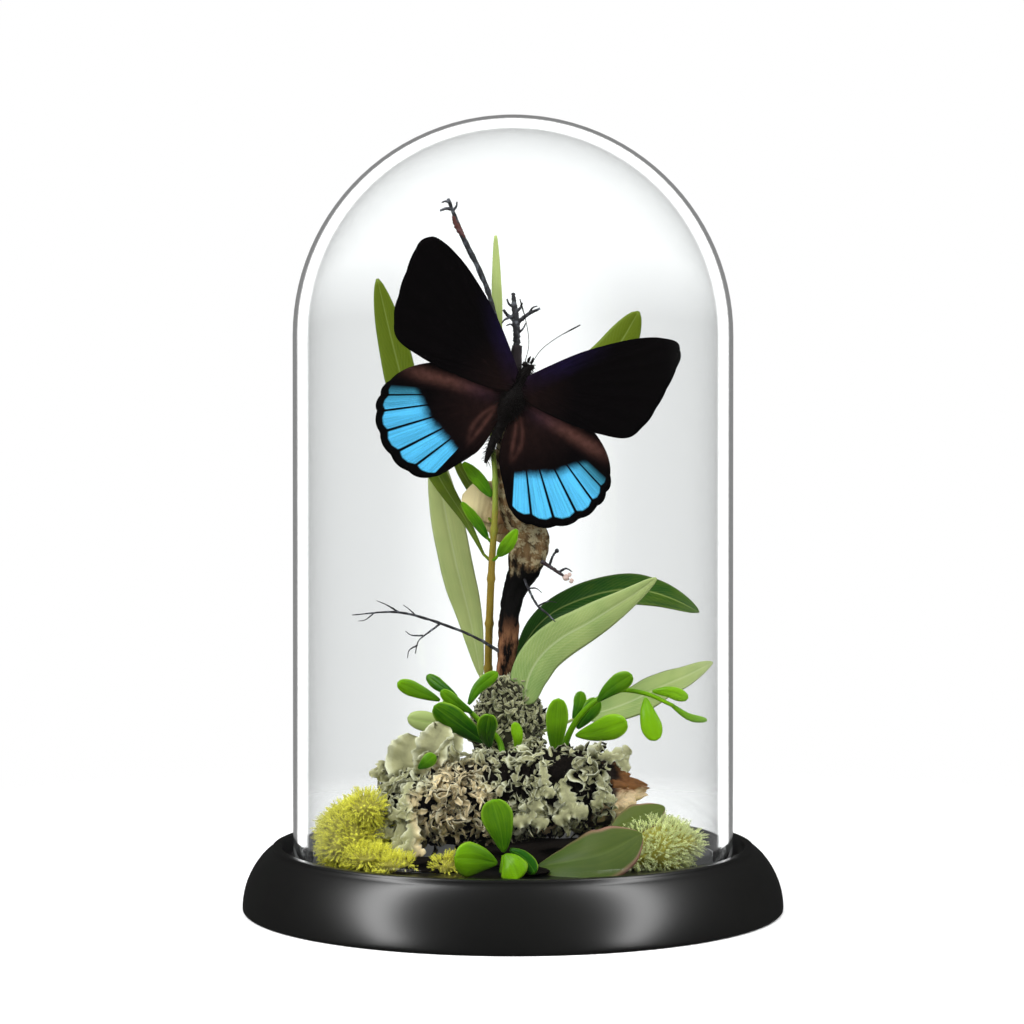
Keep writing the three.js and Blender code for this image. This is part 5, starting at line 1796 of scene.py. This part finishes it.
# Each lamp: azimuth, elevation and roll in degrees, distance and size in metres, power in watts,
# and the group of pieces that it lights
LAMPS = {
    "softbox_left": (-48, 38, 0, 0.9, (0.45, 0.45), 7.0, "arrangement"),
    "softbox_right": (55, 34, 0, 0.9, (0.45, 0.45), 4.7, "arrangement"),
    "softbox_top": (0, 78, 0, 1.0, (0.6, 0.6), 8.0, "arrangement"),
    "rim_left": (-67, 34, 26, 0.8, (0.2, 1.6), 12.0, "lacquer"),
    "rim_right": (63, 34, -25, 0.8, (0.2, 1.6), 10.5, "lacquer"),
}


class INSECTDOME_OT_stage(PieceOperator):
    """Set the studio: a pale floor, soft lamps and the camera"""

    bl_idname = "insect_dome.stage"
    bl_label = "Studio"

    def make(self, settings):
        scene = bpy.context.scene
        stage = settings.stage
        scene.view_settings.view_transform = "Standard"
        scene.world = studio_world(stage)
        camera = bpy.data.objects.new("camera", bpy.data.cameras.new("camera"))
        camera.data.sensor_width = 36
        camera.data.lens = stage.lens
        camera.location = stage.eye
        camera.rotation_euler = (math.pi / 2 - stage.pitch, 0, 0)
        scene.collection.objects.link(camera)
        scene.camera = camera

        disc = lathe([(0, -4), (1200, -4), (1200, -0.05), (0, -0.05)], 96)
        floor = build("studio_floor", [disc], paper_material(stage.floor))
        floor.visible_shadow = False
        floor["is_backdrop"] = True

        lit = {name: bpy.data.collections.new(name) for name in ("lacquer", "arrangement")}
        lit["lacquer"].objects.link(bpy.data.objects["base_turned"])
        lit["arrangement"].objects.link(floor)
        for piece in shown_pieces():
            if piece.name not in ("dome_blown", "base_turned"):
                lit["arrangement"].objects.link(piece)
        for name, (azimuth, elevation, roll, distance, size, watts, group) in LAMPS.items():
            data = bpy.data.lights.new(name, "AREA")
            data.shape = "RECTANGLE"
            data.size, data.size_y = size
            data.energy = watts
            lamp = bpy.data.objects.new(name, data)
            a, e = math.radians(azimuth), math.radians(elevation)
            outwards = Vector((math.sin(a) * math.cos(e), -math.cos(a) * math.cos(e), math.sin(e)))
            lamp.location = LAMPS_AIM + outwards * distance
            lamp.rotation_mode = "QUATERNION"
            tilt = Quaternion((0, 0, 1), math.radians(roll))
            lamp.rotation_quaternion = (-outwards).to_track_quat("-Z", "Y") @ tilt
            scene.collection.objects.link(lamp)
            lamp.light_linking.receiver_collection = lit[group]


OPERATORS = (
    INSECTDOME_OT_base,
    INSECTDOME_OT_glass,
    INSECTDOME_OT_log,
    INSECTDOME_OT_branch,
    INSECTDOME_OT_butterfly,
    INSECTDOME_OT_long_leaves,
    INSECTDOME_OT_sprigs,
    INSECTDOME_OT_lichen,
    INSECTDOME_OT_moss,
    INSECTDOME_OT_stage,
)


class INSECTDOME_PT_panel(bpy.types.Panel):
    """Lists the pieces and their settings"""

    bl_idname = "INSECTDOME_PT_panel"
    bl_label = "Insect in Glass Dome"
    bl_space_type = "VIEW_3D"
    bl_region_type = "UI"
    bl_category = "Insect Dome"

    def draw(self, context):
        settings = context.scene.insect_dome
        for group in SETTINGS:
            box = self.layout.box()
            box.label(text=group.title())
            for name in getattr(settings, group).bl_rna.properties.keys():
                if name not in ("rna_type", "name"):
                    box.prop(getattr(settings, group), name)
        for operator in OPERATORS:
            self.layout.operator(operator.bl_idname)


CLASSES = (*SETTINGS.values(), InsectDomeSettings, *OPERATORS, INSECTDOME_PT_panel)


def register():
    for item in CLASSES:
        bpy.utils.register_class(item)
    bpy.types.Scene.insect_dome = PointerProperty(type=InsectDomeSettings)


def unregister():
    del bpy.types.Scene.insect_dome
    for item in reversed(CLASSES):
        bpy.utils.unregister_class(item)


def main():
    register()
    for operator in OPERATORS:
        group, name = operator.bl_idname.split(".")
        getattr(getattr(bpy.ops, group), name)()
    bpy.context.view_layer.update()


if __name__ == "__main__":
    main()
